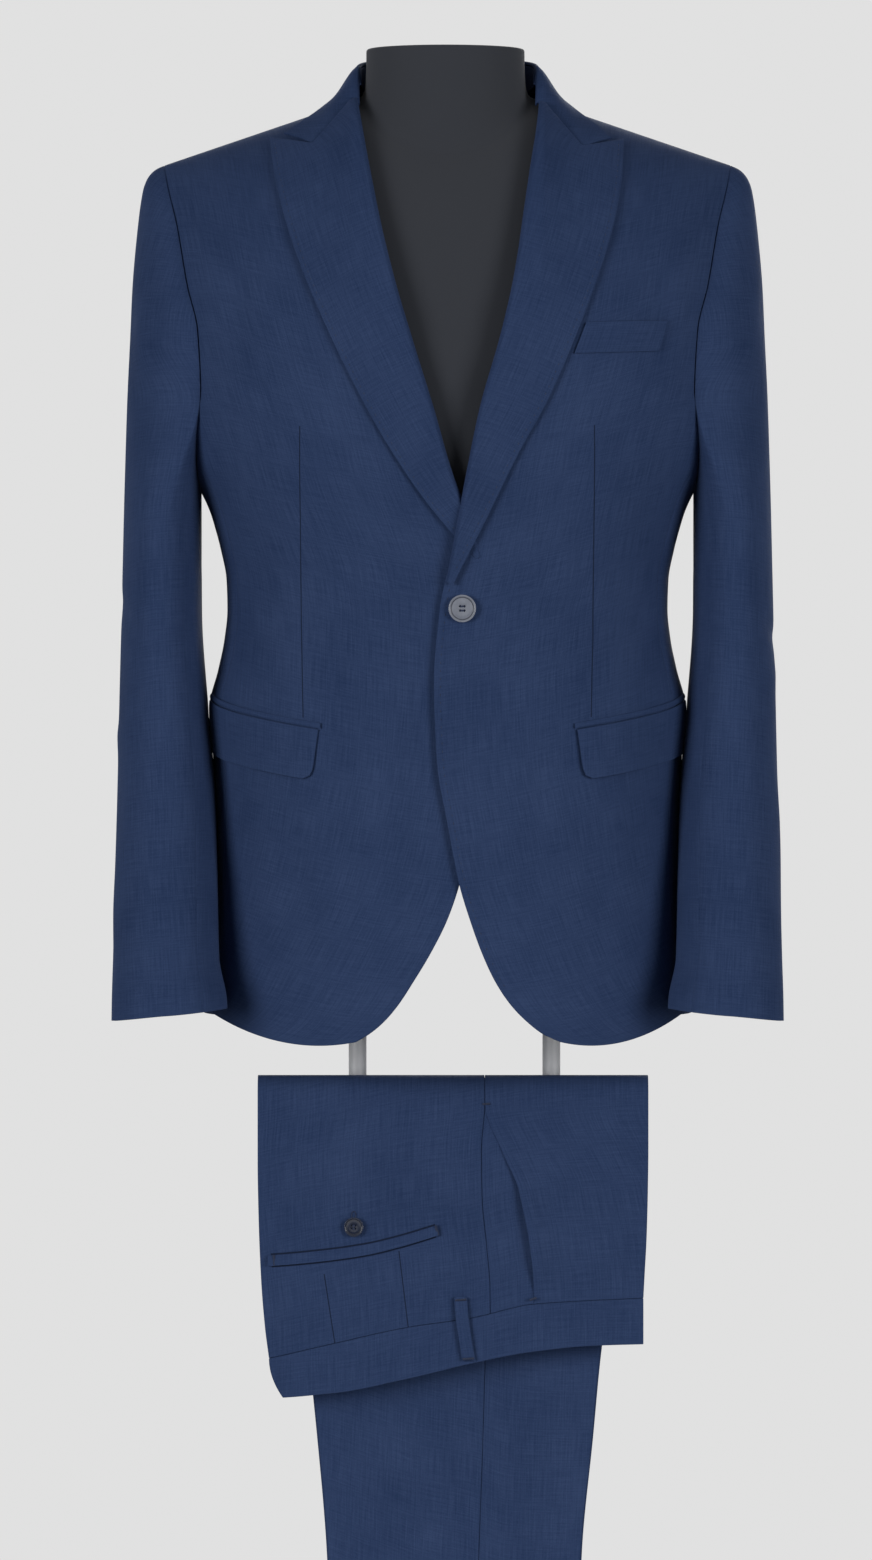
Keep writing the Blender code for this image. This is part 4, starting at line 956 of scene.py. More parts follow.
# ------------------------------------------------------------- stitches
@dataclass
class Stitching:
    """Short threads laid on the cloth and joined as one piece."""

    name: str
    radius: float = 0.00028
    starts: list[Array] = field(default_factory=list)
    ends: list[Array] = field(default_factory=list)

    def run(self, line: Array, pitch: float, length: float) -> None:
        """Lay running stitches along a line of points.

        Args:
            line: Points along the cloth, close together.
            pitch: From the start of a stitch to the start of the next.
            length: Length of one stitch.
        """
        along = np.concatenate([[0.0], np.cumsum(np.linalg.norm(np.diff(line, axis=0), axis=1))])
        starts = np.arange(0.5 * pitch, along[-1] - length, pitch)
        for where, store in ((starts, self.starts), (starts + length, self.ends)):
            store.append(np.stack([np.interp(where, along, line[:, k]) for k in range(3)], axis=1))

    def bars(self, centre: Array, along: Array, across: Array, size: tuple[float, float],
             count: int) -> None:
        """Lay a dense bar of stitches, as at a pocket's end.

        Args:
            centre: The bar's middle.
            along: Direction of the bar.
            across: Direction of its threads.
            size: Length and width of the bar.
            count: How many threads it has.
        """
        for i in range(count):
            place = centre + along * size[0] * ((i + 0.5) / count - 0.5)
            self.starts.append((place - across * size[1] / 2)[None])
            self.ends.append((place + across * size[1] / 2)[None])

    def build(self) -> bpy.types.Object:
        """Copy one small rounded thread to every stitch and join them."""
        deselect()
        bpy.ops.mesh.primitive_uv_sphere_add(segments=8, ring_count=6, radius=1.0)
        model = bpy.context.active_object
        shape = np.array([v.co for v in model.data.vertices])
        faces = [tuple(p.vertices) for p in model.data.polygons]
        bpy.data.objects.remove(model, do_unlink=True)
        starts, ends = np.concatenate(self.starts), np.concatenate(self.ends)
        verts: list[Array] = []
        joined: list[tuple[int, ...]] = []
        for start, end in zip(starts, ends):
            run = end - start
            length = float(np.linalg.norm(run))
            turn = np.array(Vector(run).to_track_quat("Z", "Y").to_matrix())
            body = shape * self.radius
            body[:, 2] += np.sign(np.round(shape[:, 2], 3)) * 0.5 * length
            offset = len(verts) * len(shape)
            verts.append(body @ turn.T + 0.5 * (start + end))
            joined += [tuple(i + offset for i in face) for face in faces]
        mesh = bpy.data.meshes.new(self.name)
        mesh.from_pydata(np.concatenate(verts).tolist(), [], joined)
        piece = bpy.data.objects.new(self.name, mesh)
        bpy.context.scene.collection.objects.link(piece)
        mesh.shade_smooth()
        return piece


# ------------------------------------------------------------- jacket
COLLAR_LIFT = 0.0017       # clear height under the collar's leaf, above the fronts
NOTCH_DEPTH = 0.0215       # how far the lapel's top edge dips to the notch
GORGE_DEPTH = 0.0190       # how far forward the collar's end reaches at the notch
GORGE_PLACE = 0.60         # where along the collar's end the notch is
RIGHT_GORGE_RISE = 0.0055  # how much further back the right end lies
OVERLAP_DROP = 0.0046      # how far the under front passes behind the other
SIDE_HEM = 0.9035          # height of the hem at the front side seams
HEM_BOW = 0.0105           # how far the fronts' hem bows down between its ends
SIDE_REACH = (0.0021, 0.0013)          # turn by which a side panel reaches past its seams
JOIN_SHIFT = 0.0044        # how far panels reach out to the sleeve,
JOIN_WIDTH = 0.025         # over what width, and over what heights
JOIN_HEIGHTS = ((1.285, 1.325), (1.350, 1.384))
ROLL_HEIGHT = 0.0034       # how far a lapel stands off at its roll line,
ROLL_FADE = 0.016          # and over what width that dies out
ROLL_START = 0.0010        # how far inside the front a lapel's fold begins
ROLL_TURN = 0.0042         # width over which the fold turns over
CUFF_HEIGHT = 0.9045
CUFF_TILT = 0.0046         # how much lower a cuff is on its outside
SLEEVE_TUCK = 0.0022       # how far a sleeve's inner side lies under the front above the notch
FLAP_END = radians(10)     # turn from the side at which the hip flaps end
PICK = (0.0062, 0.0013)    # pitch and length of the edge stitches
PICK_INSET = (0.0042, 0.0048)          # how far they lie inside the lapels' and the front's edge
UNDER_SPAN = (-0.060, -0.012)          # x over which the under front sinks behind the other
HEM_LEVEL = 0.97           # height at which the fronts' hem has lost its bow
CHEST_LEVEL = 1.30         # height from which a front's rows follow the shoulder line
CREST_LEVEL = 1.50         # height from which a front ends at the shoulder's crest
NECK_LEVEL = 1.56          # height from which a front's edge follows the neck
FRONT_ROWS = 0.86          # share up a panel from which its rows are drawn together
BACK_ROWS = 0.85
SLEEVE_ROWS = 0.90
COLLAR_RING = (0.0705, 0.0620, 0.0460) # half width, back and front depth of the collar's fold
COLLAR_ROLL = 0.0021       # radius of the roll at the fold,
COLLAR_ROWS = 0.16         # and the share of the leaf's rows that it takes
COLLAR_BELLY = 0.0030      # how far the leaf bulges behind the neck
COLLAR_LAND = (72.0, 100.0)            # turns over which the leaf comes to lie on the fronts
STAND_SPAN = 0.82          # share of the collar that has a stand
STAND_WALL = 0.0014
STAND_DROP = 0.0026        # how far the stand ends below the fold
STAND_LEAST = 0.0010       # the stand's least height
SLEEVE_SEAMS = (0.60, 0.24)            # turn from the sleeve's front and back to its seams
SLEEVE_REACH = 0.002       # turn by which the under sleeve reaches past its seams

FRONT_EDGES = (            # height, right front, left front
    (0.884, -0.0700, 0.0860),
    (0.890, -0.0600, 0.0730),
    (0.899, -0.0490, 0.0612),
    (0.912, -0.0378, 0.0485),
    (0.930, -0.0260, 0.0364),
    (0.952, -0.0128, 0.0261),
    (0.978, 0.0001, 0.0167),
    (1.004, 0.0090, 0.0089),
    (1.050, 0.0200, -0.0001),
    (1.100, 0.0280, -0.0084),
    (1.160, 0.0315, -0.0105),
    (1.215, 0.0315, -0.0060),
    (1.250, 0.0280, 0.0013),
    (1.280, 0.0185, 0.0070),
    (1.320, 0.0033, 0.0145),
    (1.370, -0.0111, 0.0249),
    (1.420, -0.0266, 0.0392),
    (1.460, -0.0385, 0.0487),
    (1.490, -0.0462, 0.0540),
    (1.515, -0.0519, 0.0575),
    (1.538, -0.0565, 0.0608),
    (1.560, -0.0607, 0.0641),
    (1.580, -0.0643, 0.0674),
    (1.595, -0.0669, 0.0694),
    (1.606, -0.0689, 0.0706),
    (1.614, -0.0708, 0.0715),
    (1.619, -0.0721, 0.0722),
    (1.6205, -0.0725, 0.0725),
)
ARMHOLE = (                # height, x
    (1.309, 0.1895),
    (1.380, 0.1895),
    (1.430, 0.1920),
    (1.464, 0.2000),
    (1.514, 0.2090),
    (1.540, 0.2155),
    (1.5608, 0.2197),
)
SLEEVE = (                 # height, inner, outer, half depth, y of the middle
    (0.900, 0.1682, 0.2573, 0.0465, -0.0985),
    (0.916, 0.1690, 0.2572, 0.0475, -0.0945),
    (0.948, 0.1752, 0.2567, 0.0500, -0.0790),
    (1.014, 0.1772, 0.2560, 0.0560, -0.0500),
    (1.068, 0.1790, 0.2551, 0.0600, -0.0290),
    (1.100, 0.1812, 0.2546, 0.0622, -0.0200),
    (1.140, 0.1850, 0.2540, 0.0645, -0.0110),
    (1.216, 0.1902, 0.2523, 0.0680, -0.0030),
    (1.309, 0.1906, 0.2502, 0.0715, 0.0000),
    (1.380, 0.1904, 0.2480, 0.0700, -0.0019),
    (1.430, 0.1920, 0.2457, 0.0700, -0.0019),
    (1.464, 0.2000, 0.2443, 0.0700, -0.0019),
    (1.514, 0.2090, 0.2400, 0.0700, -0.0019),
    (1.541, 0.2155, 0.2362, 0.0700, -0.0019),
    (1.550, 0.2173, 0.2330, 0.0700, -0.0019),
    (1.5555, 0.2186, 0.2288, 0.0700, -0.0019),
    (1.5585, 0.2192, 0.2246, 0.0700, -0.0019),
    (1.5602, 0.2196, 0.2206, 0.0700, -0.0019),
)
LAPELS = {                 # height on the roll line, then x, height and notch of the outer edge
    Side.LEFT: (
        (1.236, 0.0040, 1.2330, 0.0),
        (1.262, 0.0170, 1.2590, 0.0),
        (1.290, 0.0320, 1.2890, 0.0),
        (1.330, 0.0540, 1.3340, 0.0),
        (1.375, 0.0780, 1.3780, 0.0),
        (1.425, 0.0985, 1.4260, 0.0),
        (1.475, 0.1150, 1.4700, 0.0),
        (1.525, 0.1275, 1.5130, 0.10),
        (1.570, 0.1335, 1.5480, 0.45),
        (1.607, 0.1352, 1.5769, 1.0),
    ),
    Side.RIGHT: (
        (1.256, 0.0215, 1.2530, 0.0),
        (1.274, 0.0050, 1.2710, 0.0),
        (1.300, -0.0195, 1.3010, 0.0),
        (1.335, -0.0455, 1.3400, 0.0),
        (1.375, -0.0690, 1.3820, 0.0),
        (1.425, -0.0935, 1.4330, 0.0),
        (1.475, -0.1118, 1.4760, 0.0),
        (1.525, -0.1250, 1.5170, 0.10),
        (1.572, -0.1330, 1.5520, 0.45),
        (1.610, -0.1368, 1.5785, 1.0),
    ),
}
COLLAR = (                 # turn from the back, fold height, then x, y and notch of the leaf's edge
    (0.0, 1.6450, 0.0000, 0.0655, 0.0),
    (24.0, 1.6447, 0.0330, 0.0635, 0.0),
    (48.0, 1.6437, 0.0620, 0.0547, 0.0),
    (68.0, 1.6413, 0.0765, 0.0400, 0.0),
    (80.0, 1.6391, 0.0825, 0.0250, 0.0),
    (90.0, 1.6362, 0.0872, 0.0110, 0.02),
    (98.0, 1.6325, 0.0930, 0.0000, 0.06),
    (106.0, 1.6270, 0.1005, -0.0085, 0.14),
    (117.0, 1.6175, 0.1135, -0.0195, 0.45),
    (128.0, 1.6070, 0.1255, -0.0310, 1.0),
)


@dataclass
class Jacket:
    """The worn jacket, sheet by sheet."""

    body: Body
    finishes: Cupboard
    front_seam: float = 0.95         # side seams, as a share of the half width
    back_seam: float = 0.88
    underarm: float = 1.311
    sleeve_notch: float = 1.380
    armhole_plane: float = 0.1895
    hem_back: float = 0.906
    back_neck: float = 1.605
    vent_apex: float = 1.146
    vent_left: float = 0.053
    vent_right: float = 0.043
    sleeve_round: float = 2.3
    button_radius: float = 0.0105

    def __post_init__(self) -> None:
        """Read the tables as courses."""
        steps = [hypot(b[0] - a[0], b[2] - a[2]) for a, b in zip(FRONT_EDGES, FRONT_EDGES[1:])]
        self.edge_rows = along_rows(FRONT_EDGES, steps)
        right, left = courses(FRONT_EDGES)
        self.edge_x = {Side.RIGHT: right, Side.LEFT: left}
        self.armhole, = courses(ARMHOLE)
        self.inner, self.outer, self.sleeve_depth, self.sleeve_middle = courses(SLEEVE)

    def outer_edge(self, seam: float, z: Array) -> Array:
        """Return x of a panel's outer edge: its side seam, then the armhole."""
        reach = seam * self.body.half_width(z)
        free = (z < self.underarm) | ((reach < self.armhole_plane) & (z < 1.40))
        return np.where(free, reach, self.armhole(z))

    def under_drop(self, side: Side, x: Array) -> Array:
        """Return how far the under front is set back behind the other."""
        if side is Side.LEFT:
            return np.zeros_like(x)
        return OVERLAP_DROP * ramp(x, *UNDER_SPAN)

    def joined(self, side: Side, points: Array) -> Array:
        """Return a panel's points pushed out to the sleeve around the armhole's foot."""
        x, z = np.abs(points[:, 0]), points[:, 2]
        rise, fall = JOIN_HEIGHTS
        height = ramp(z, *rise) * (1 - ramp(z, *fall))
        near = ramp(x, self.armhole_plane - JOIN_WIDTH, self.armhole_plane)
        points[:, 0] += JOIN_SHIFT * side.value * height * near
        return points

    def front_place(self, side: Side, across: Array, up: Array) -> tuple[Array, Array]:
        """Return x and z on a front for shares across and up it."""
        height, right, left = self.edge_rows
        level = height(up)
        ridge = self.body.ridge
        z_in = level + (ridge(self.body.neck) - NECK_POINT) * ramp(level, NECK_LEVEL, NECK_POINT)
        x_in = (left if side is Side.LEFT else right)(up)
        share = (level - HIP_HEIGHT) / (NECK_POINT - HIP_HEIGHT)
        z_out = mix(SIDE_HEM, self.body.tip_height, share)
        x_out = side.value * (self.outer_edge(self.front_seam, z_out) - 0.5 * GAP)
        x, z = mix(x_in, x_out, across), mix(z_in, z_out, across)
        bow = HEM_BOW * (1 - ramp(z_in, HIP_HEIGHT, HEM_LEVEL))
        curve = ridge(x) - mix(ridge(x_in), ridge(x_out), across)
        z = z - bow * 4 * across * (1 - across) + curve * ramp(z_in, CHEST_LEVEL, NECK_POINT)
        return x, np.minimum(z, ridge(x))

    def front(self, side: Side) -> Sheet:
        """Lay a front panel, with its dart sewn from the chest to the pocket."""
        darts = {Side.LEFT: SewnLine((0.1120, 1.3560), (0.1098, 1.1300), -0.0008),
                 Side.RIGHT: SewnLine((-0.1128, 1.3560), (-0.1105, 1.1300), 0.0008)}

        def place(across: Array, up: Array) -> Array:
            x, z = self.front_place(side, across, drawn(up, FRONT_ROWS))
            points = self.body.over(x, z)
            points[:, 1] += self.under_drop(side, x)
            crest = np.minimum(points[:, 1], self.body.ridge_y)
            points[:, 1] = np.where(z > CREST_LEVEL, crest, points[:, 1])
            return self.joined(side, points)

        def lines(across: Array, up: Array) -> Array:
            x, z = self.front_place(side, across, drawn(up, FRONT_ROWS))
            return darts[side].distance(x, z)[:, None]

        return lay_sheet(f"front_{side.word}_cloth", (66, 230), place, from_body_axis,
                         lines=lines, middle=0.0)

    def armhole_bottom(self, turn: Array) -> Array:
        """Return the height at which each turn of the body meets the armhole."""
        def below(z: Array) -> Array:
            reach = self.body.half_width(z) * np.cos(turn) ** (2 / self.body.roundness)
            return reach < self.armhole_plane - 0.0004

        return halve(np.full_like(turn, 1.300), np.full_like(turn, 1.395), below, 30)

    def side_panel(self, side: Side) -> Sheet:
        """Lay the panel under the arm, out to the edges of front and back."""
        start = -self.body.turn_at(np.float64(self.front_seam)) - SIDE_REACH[0]
        end = self.body.turn_at(np.float64(self.back_seam)) + SIDE_REACH[1]

        def place(across: Array, up: Array) -> Array:
            turn = mix(start, end, across)
            z = mix(mix(SIDE_HEM, self.hem_back, across), self.armhole_bottom(turn), up)
            return self.joined(side, self.body.around(side.value, turn, z))

        return lay_sheet(f"side_{side.word}_cloth", (24, 130), place, from_body_axis)

    def back_top(self, x: Array) -> Array:
        """Return the height of the back's top edge: neck seam, then shoulder."""
        ridge = self.body.ridge(x)
        neck = mix(self.back_neck, ridge, (np.abs(x) / self.body.neck) ** 2)
        return np.where(np.abs(x) < self.body.neck, neck, ridge)

    def back(self, side: Side) -> Sheet:
        """Lay a back panel, from the open vent to the neck and shoulder."""
        opening = self.vent_left if side is Side.LEFT else self.vent_right

        def place(across: Array, up: Array) -> Array:
            level = drawn(up, BACK_ROWS)
            z_in = mix(self.hem_back, self.back_neck, level)
            z_out = mix(self.hem_back, self.body.tip_height, level)
            rise = np.maximum((self.vent_apex - z_in) / (self.vent_apex - self.hem_back), 0.0)
            x_in = side.value * (0.5 * GAP + opening * rise)
            x_out = side.value * (self.outer_edge(self.back_seam, z_out) - 0.5 * GAP)
            x = mix(x_in, x_out, across)
            bend = self.back_top(x) - mix(self.back_top(x_in), self.back_top(x_out), across)
            z = mix(z_in, z_out, across) + bend * ramp(level, 0.70, 1.0)
            z = np.minimum(z, self.back_top(x))
            points = self.body.over(x, z, back=True)
            points[:, 0] = side.value * np.maximum(side.value * points[:, 0], 0.5 * GAP)
            crest = np.maximum(points[:, 1], self.body.ridge_y)
            points[:, 1] = np.where(level > 0.9, crest, points[:, 1])
            return self.joined(side, points)

        return lay_sheet(f"back_{side.word}_cloth", (60, 210), place, from_body_axis, middle=0.0)

    def lapel_place(self, side: Side, across: Array, up: Array) -> Array:
        """Return points of a lapel's outer face, rolled over at its fold."""
        roll, x_end, z_end, notch = along_rows(LAPELS[side])
        z_in, x_in = roll(up), self.edge_x[side](roll(up))
        width = np.hypot(x_end(up) - x_in, z_end(up) - z_in)
        x = mix(x_in, x_end(up), across)
        z = mix(z_in, z_end(up), across) - NOTCH_DEPTH * notch(up) * (1 - np.abs(2 * across - 1))
        flat = LIFT + WALL + 0.0005 * ramp(z, 1.40, 1.50)
        softness = mix(1.0, 0.45, ramp(z_in, 1.30, 1.55))
        roll_high = ROLL_HEIGHT * np.exp(-across * width / ROLL_FADE) * softness
        near = np.clip(across * width / ROLL_TURN, 0.0, 1.0)
        lift = (flat + roll_high + ROLL_START) * np.sqrt(1 - (1 - near) ** 2) - ROLL_START
        points = self.body.over(x, z, lift=lift)
        points[:, 1] += self.under_drop(side, x)
        return points

    def lapel(self, side: Side) -> Sheet:
        """Lay a peak lapel that rolls over at the roll line."""
        def place(across: Array, up: Array) -> Array:
            return self.lapel_place(side, across**1.7, up)

        return lay_sheet(f"lapel_{side.word}_cloth", (44, 130), place, from_body_axis,
                         wall=LEAF_WALL, middle=1.0)

    def collar_rows(self, across: Array) -> tuple[Array, ...]:
        """Return turn, fold point, way out, and x, y and notch of the collar's edge."""
        span = 2 * across - 1
        sign = np.where(span < 0, -1.0, 1.0)
        turn, fold_z, edge_x, edge_y, notch = (read(np.abs(span)) for read in along_rows(COLLAR))
        angle = np.radians(turn)
        width, back, front = COLLAR_RING
        x = width * np.sin(np.minimum(angle, pi / 2))
        y = np.where(turn < 90, back, front) * np.cos(angle)
        fold = points_of(sign * x, y, fold_z)
        edge_y = edge_y + np.where(span < 0, RIGHT_GORGE_RISE, 0.0) * notch
        return turn, fold, unit(fold * (1.0, 1.0, 0.0)), sign * edge_x, edge_y, notch

    def collar_leaf(self) -> Sheet:
        """Lay the collar leaf, which rolls over its fold and lies on the body."""
        roll, lift, rolled = COLLAR_ROLL, COLLAR_LIFT + WALL, COLLAR_ROWS

        def fallen(across: Array, share: Array) -> Array:
            turn, fold, away, edge_x, edge_y, notch = self.collar_rows(across)
            x = mix(fold[:, 0], edge_x, share)
            reach = np.minimum(share / GORGE_PLACE, (1 - share) / (1 - GORGE_PLACE))
            y = mix(fold[:, 1], edge_y, share) - GORGE_DEPTH * notch * reach
            stand_off = fold - self.body.above(fold[:, 0], fold[:, 1], lift)
            lying = self.body.above(x, y, lift) + stand_off * ((1 - share) ** 1.6)[:, None]
            straight = mix(fold, self.body.above(edge_x, edge_y, lift), share[:, None])
            straight += away * (COLLAR_BELLY * np.sin(pi * share))[:, None]
            return mix(straight, lying, ramp(turn, *COLLAR_LAND)[:, None])

        def place(across: Array, up: Array) -> Array:
            _, fold, away, _, _, _ = self.collar_rows(across)
            fall = fallen(across, np.full_like(up, 0.05)) - fold
            last = np.arctan2((fall * away).sum(1), -fall[:, 2])
            theta = mix(pi, last, np.minimum(up / rolled, 1.0))[:, None]
            raised = np.array((0.0, 0.0, 1.0))
            centre = fold - roll * (np.cos(last)[:, None] * away + np.sin(last)[:, None] * raised)
            arc = centre + roll * (np.cos(theta) * away + np.sin(theta) * raised)
            leaf = fallen(across, np.maximum((up - rolled) / (1 - rolled), 0.0))
            return np.where((up < rolled)[:, None], arc, leaf)

        return lay_sheet("collar_leaf_cloth", (180, 44), place, from_body_axis, wall=LEAF_WALL)

    def collar_stand(self) -> Sheet:
        """Lay the stand inside the collar, from the neck seam to the fold."""
        def place(across: Array, up: Array) -> Array:
            inner = 0.5 + (across - 0.5) * STAND_SPAN
            turn, fold, away, _, _, _ = self.collar_rows(inner)
            bottom = np.where(turn < 90, self.back_top(fold[:, 0]), self.body.ridge(fold[:, 0]))
            foot = np.maximum(bottom, self.back_neck) + 2 * GAP
            inside = fold - away * (WALL + 2 * GAP)
            top = np.maximum(fold[:, 2] - STAND_DROP, foot + STAND_LEAST)
            inside[:, 2] = mix(foot, top, up)
            return inside

        return lay_sheet("collar_stand_cloth", (120, 10), place, from_body_axis, wall=STAND_WALL)

    def sleeve_place(self, side: Side, turn: Array, z: Array, creases: Sequence[Crease]) -> Array:
        """Return points of a sleeve by turn (0 outside, front < 0) and height."""
        centre = 0.5 * (self.inner(z) + self.outer(z))
        notch = self.sleeve_notch
        start = mix(centre, self.armhole(z) + 2 * GAP, ramp(z, self.underarm - 0.03, notch))
        front = self.sleeve_middle(z) - self.sleeve_depth(z)
        back = self.sleeve_middle(z) + self.sleeve_depth(z)
        share = ramp(z, notch - 0.02, notch)
        front = mix(front, self.body.depth(self.armhole(z), z, False), share)
        back = mix(back, self.body.depth(self.armhole(z), z, True), share)
        outside = np.abs(turn) <= pi / 2
        reach = np.maximum(np.where(outside, self.outer(z) - start, start - self.inner(z)), GAP)
        x = reach * signed_power(np.cos(turn), 2 / self.sleeve_round)
        tucked = ramp(np.abs(turn) - pi / 2, 0.15, 0.45) * ramp(z, notch, notch + 0.02)
        x = x - SLEEVE_TUCK * tucked
        y = 0.5 * (back - front) * signed_power(np.sin(turn), 2 / self.sleeve_round)
        away = unit(points_of(x * 2.0, y, 0.0))
        lift = relief(creases, turn * SLEEVE_SCALE, z)
        points = points_of(start + x, 0.5 * (front + back) + y, z) + away * lift[:, None]
        points[:, 0] *= side.value
        return points

    def sleeve(self, side: Side) -> tuple[Sheet, Sheet]:
        """Lay the top sleeve with its head, and the under sleeve inside it."""
        front_seam, back_seam = -pi / 2 - SLEEVE_SEAMS[0], pi / 2 + SLEEVE_SEAMS[1]
        top_creases, under_creases = TOP_SLEEVE_CREASES[side], UNDER_SLEEVE_CREASES

        crown = SLEEVE[-1][0]

        def cuff(turn: Array) -> Array:
            return CUFF_HEIGHT - CUFF_TILT * np.cos(turn)

        def top(across: Array, up: Array) -> Array:
            level = mix(CUFF_HEIGHT, crown, up)
            high = ramp(level, self.sleeve_notch, self.sleeve_notch + 0.04)
            turn = mix(front_seam, mix(back_seam, -front_seam, high), across)
            z = mix(cuff(turn), crown, drawn(up, SLEEVE_ROWS))
            return self.sleeve_place(side, turn, z, top_creases)

        def under(across: Array, up: Array) -> Array:
            turn = mix(back_seam - SLEEVE_REACH, front_seam + 2 * pi + SLEEVE_REACH, across)
            high = mix(self.underarm, self.sleeve_notch, np.abs(np.sin(turn)) ** 3) - 2 * GAP
            return self.sleeve_place(side, turn, mix(cuff(turn), high, up), under_creases)

        def outward(points: Array) -> Array:
            z = points[:, 2]
            middle = 0.5 * (self.inner(z) + self.outer(z))
            return points - points_of(side.value * middle, self.sleeve_middle(z), z)

        return (lay_sheet(f"topsleeve_{side.word}_cloth", (54, 200), top, outward),
                lay_sheet(f"undersleeve_{side.word}_cloth", (44, 130), under, outward))

    def front_turn(self, x: Array, z: Array) -> Array:
        """Return the turn from the side of a place on the front."""
        return -np.arccos((x / self.body.half_width(z)) ** (self.body.roundness / 2))

    def flap(self, side: Side) -> Sheet:
        """Lay a hip pocket flap, round at its front corner."""
        rows = (            # front corner x and z, end z, end set back
            (0.0985, 1.1225, 1.1455, 0.0),
            (0.1005, 1.1080, 1.1310, 0.0),
            (0.1022, 1.0945, 1.1165, 0.0),
            (0.1047, 1.0875, 1.1075, 0.02),
            (0.1100, 1.0848, 1.1035, 0.06),
        )
        corner_x, corner_z, end_z, back = along_rows(rows, (14.5, 13.5, 7.0, 4.0))

        def place(across: Array, up: Array) -> Array:
            x, z = corner_x(up), corner_z(up)
            turn = mix(self.front_turn(x, z), -FLAP_END - back(up), across)
            z = mix(z, end_z(up), across)
            curl = 0.0010 * up**2 + 0.0006 * np.sin(5.0 * across + side.value)
            return self.body.around(side.value, turn, z, LIFT + WALL + curl)

        return lay_sheet(f"hip_flap_{side.word}_cloth", (56, 30), place, from_body_axis)

    def jetting(self, side: Side) -> Sheet:
        """Lay the narrow welt over the flap."""
        def place(across: Array, up: Array) -> Array:
            z = mix(1.1275, 1.1229, up)
            turn = mix(self.front_turn(np.full_like(z, 0.0968), z), 0.01 - FLAP_END, across)
            lift = LIFT + 0.0006 + 0.0008 * np.sin(pi * up)
            return self.body.around(side.value, turn, z + 0.0235 * across, lift)

        return lay_sheet(f"hip_jetting_{side.word}_cloth", (56, 6), place, from_body_axis,
                         wall=TRIM_WALL)

    def breast_welt(self) -> Sheet:
        """Lay the breast pocket's welt, which stands a little open at its top."""
        rows = ((0.1055, 1.4335, 0.1685, 1.4362), (0.1010, 1.4215, 0.1655, 1.4245),
                (0.0965, 1.4097, 0.1617, 1.4125))
        start_x, start_z, end_x, end_z = along_rows(rows)

        def place(across: Array, up: Array) -> Array:
            turn = mix(self.front_turn(start_x(up), start_z(up)),
                       self.front_turn(end_x(up), end_z(up)), across)
            z = mix(start_z(up), end_z(up), across)
            x = self.body.half_width(z) * np.cos(turn) ** (2 / self.body.roundness)
            gape = 0.0016 * (1 - up) ** 2 * np.sin(pi * across)
            return self.body.over(x, z, lift=GAP + WALL + gape)

        return lay_sheet("breast_welt_cloth", (40, 20), place, from_body_axis)

    def stitches(self) -> bpy.types.Object:
        """Sew the pick stitches inside the edges of the lapels and of the left front."""
        work = Stitching("edge_pick_stitches", radius=0.00024)
        up = np.linspace(0.04, 0.985, 300)
        for side in Side:
            roll, x_end, z_end, _ = along_rows(LAPELS[side])
            width = np.hypot(x_end(up) - self.edge_x[side](roll(up)), z_end(up) - roll(up))
            across = 1 - PICK_INSET[0] / np.maximum(width, 0.012)
            work.run(self.lapel_place(side, across, up), *PICK)
        edge = self.edge_rows
        shares = np.linspace(0.08, 0.50, 260)
        x = edge[2](shares) + PICK_INSET[1]
        keep = edge[0](shares) < 1.235
        work.run(self.body.over(x[keep], edge[0](shares)[keep], lift=0.00002), *PICK)
        return work.build()

    def dress_all(self) -> None:
        """Lay and dress every piece of the jacket."""
        cloth = self.finishes.cloth

        def finish(sheet: Sheet, nodes: Sequence[str], held: Held, rests: Sequence[str],
                   trims: Sequence[bpy.types.Object] = ()) -> None:
            dress(sheet.piece, cloth, nodes)
            sheet.declare(held, rests, trims)

        for side in Side:
            word = side.word
            finish(self.front(side), [f"jacket_front_{word}"], Held.HUNG, ["form_torso"])
            finish(self.side_panel(side), [f"jacket_side_{word}"], Held.HUNG, ["form_torso"])
            finish(self.back(side), [f"jacket_back_{word}"], Held.HUNG, ["form_torso"])
            finish(self.lapel(side), [f"jacket_lapel_{word}"], Held.FOLDED, [f"front_{word}_cloth"])
            top, under = self.sleeve(side)
            finish(top, [f"topsleeve_{word}"], Held.HUNG, [f"front_{word}_cloth"])
            finish(under, [f"undersleeve_{word}"], Held.HUNG, [f"topsleeve_{word}_cloth"])
            jetting = self.jetting(side).piece
            dress(jetting, cloth, [f"hip_jetting_{word}"])
            finish(self.flap(side), [f"hip_flap_{word}"], Held.HUNG, [f"front_{word}_cloth"],
                   [jetting])
        finish(self.collar_leaf(), ["collar_leaf"], Held.FOLDED, ["form_torso"])
        finish(self.collar_stand(), ["collar_stand"], Held.STRETCHED, ["form_torso"])
        finish(self.breast_welt(), ["breast_welt"], Held.STRETCHED, ["front_left_cloth"])
        dress(self.stitches(), self.finishes.thread)
        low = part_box("front_button")[1].y
        button = Button("front_button_resin", radius=self.button_radius, thick=0.0038,
                        place=FRONT_BUTTON, seat=low, hole_offset=0.0023)
        dress(button.disc(), self.finishes.horn, ["front_button"])
        dress(button.threads(), self.finishes.thread)


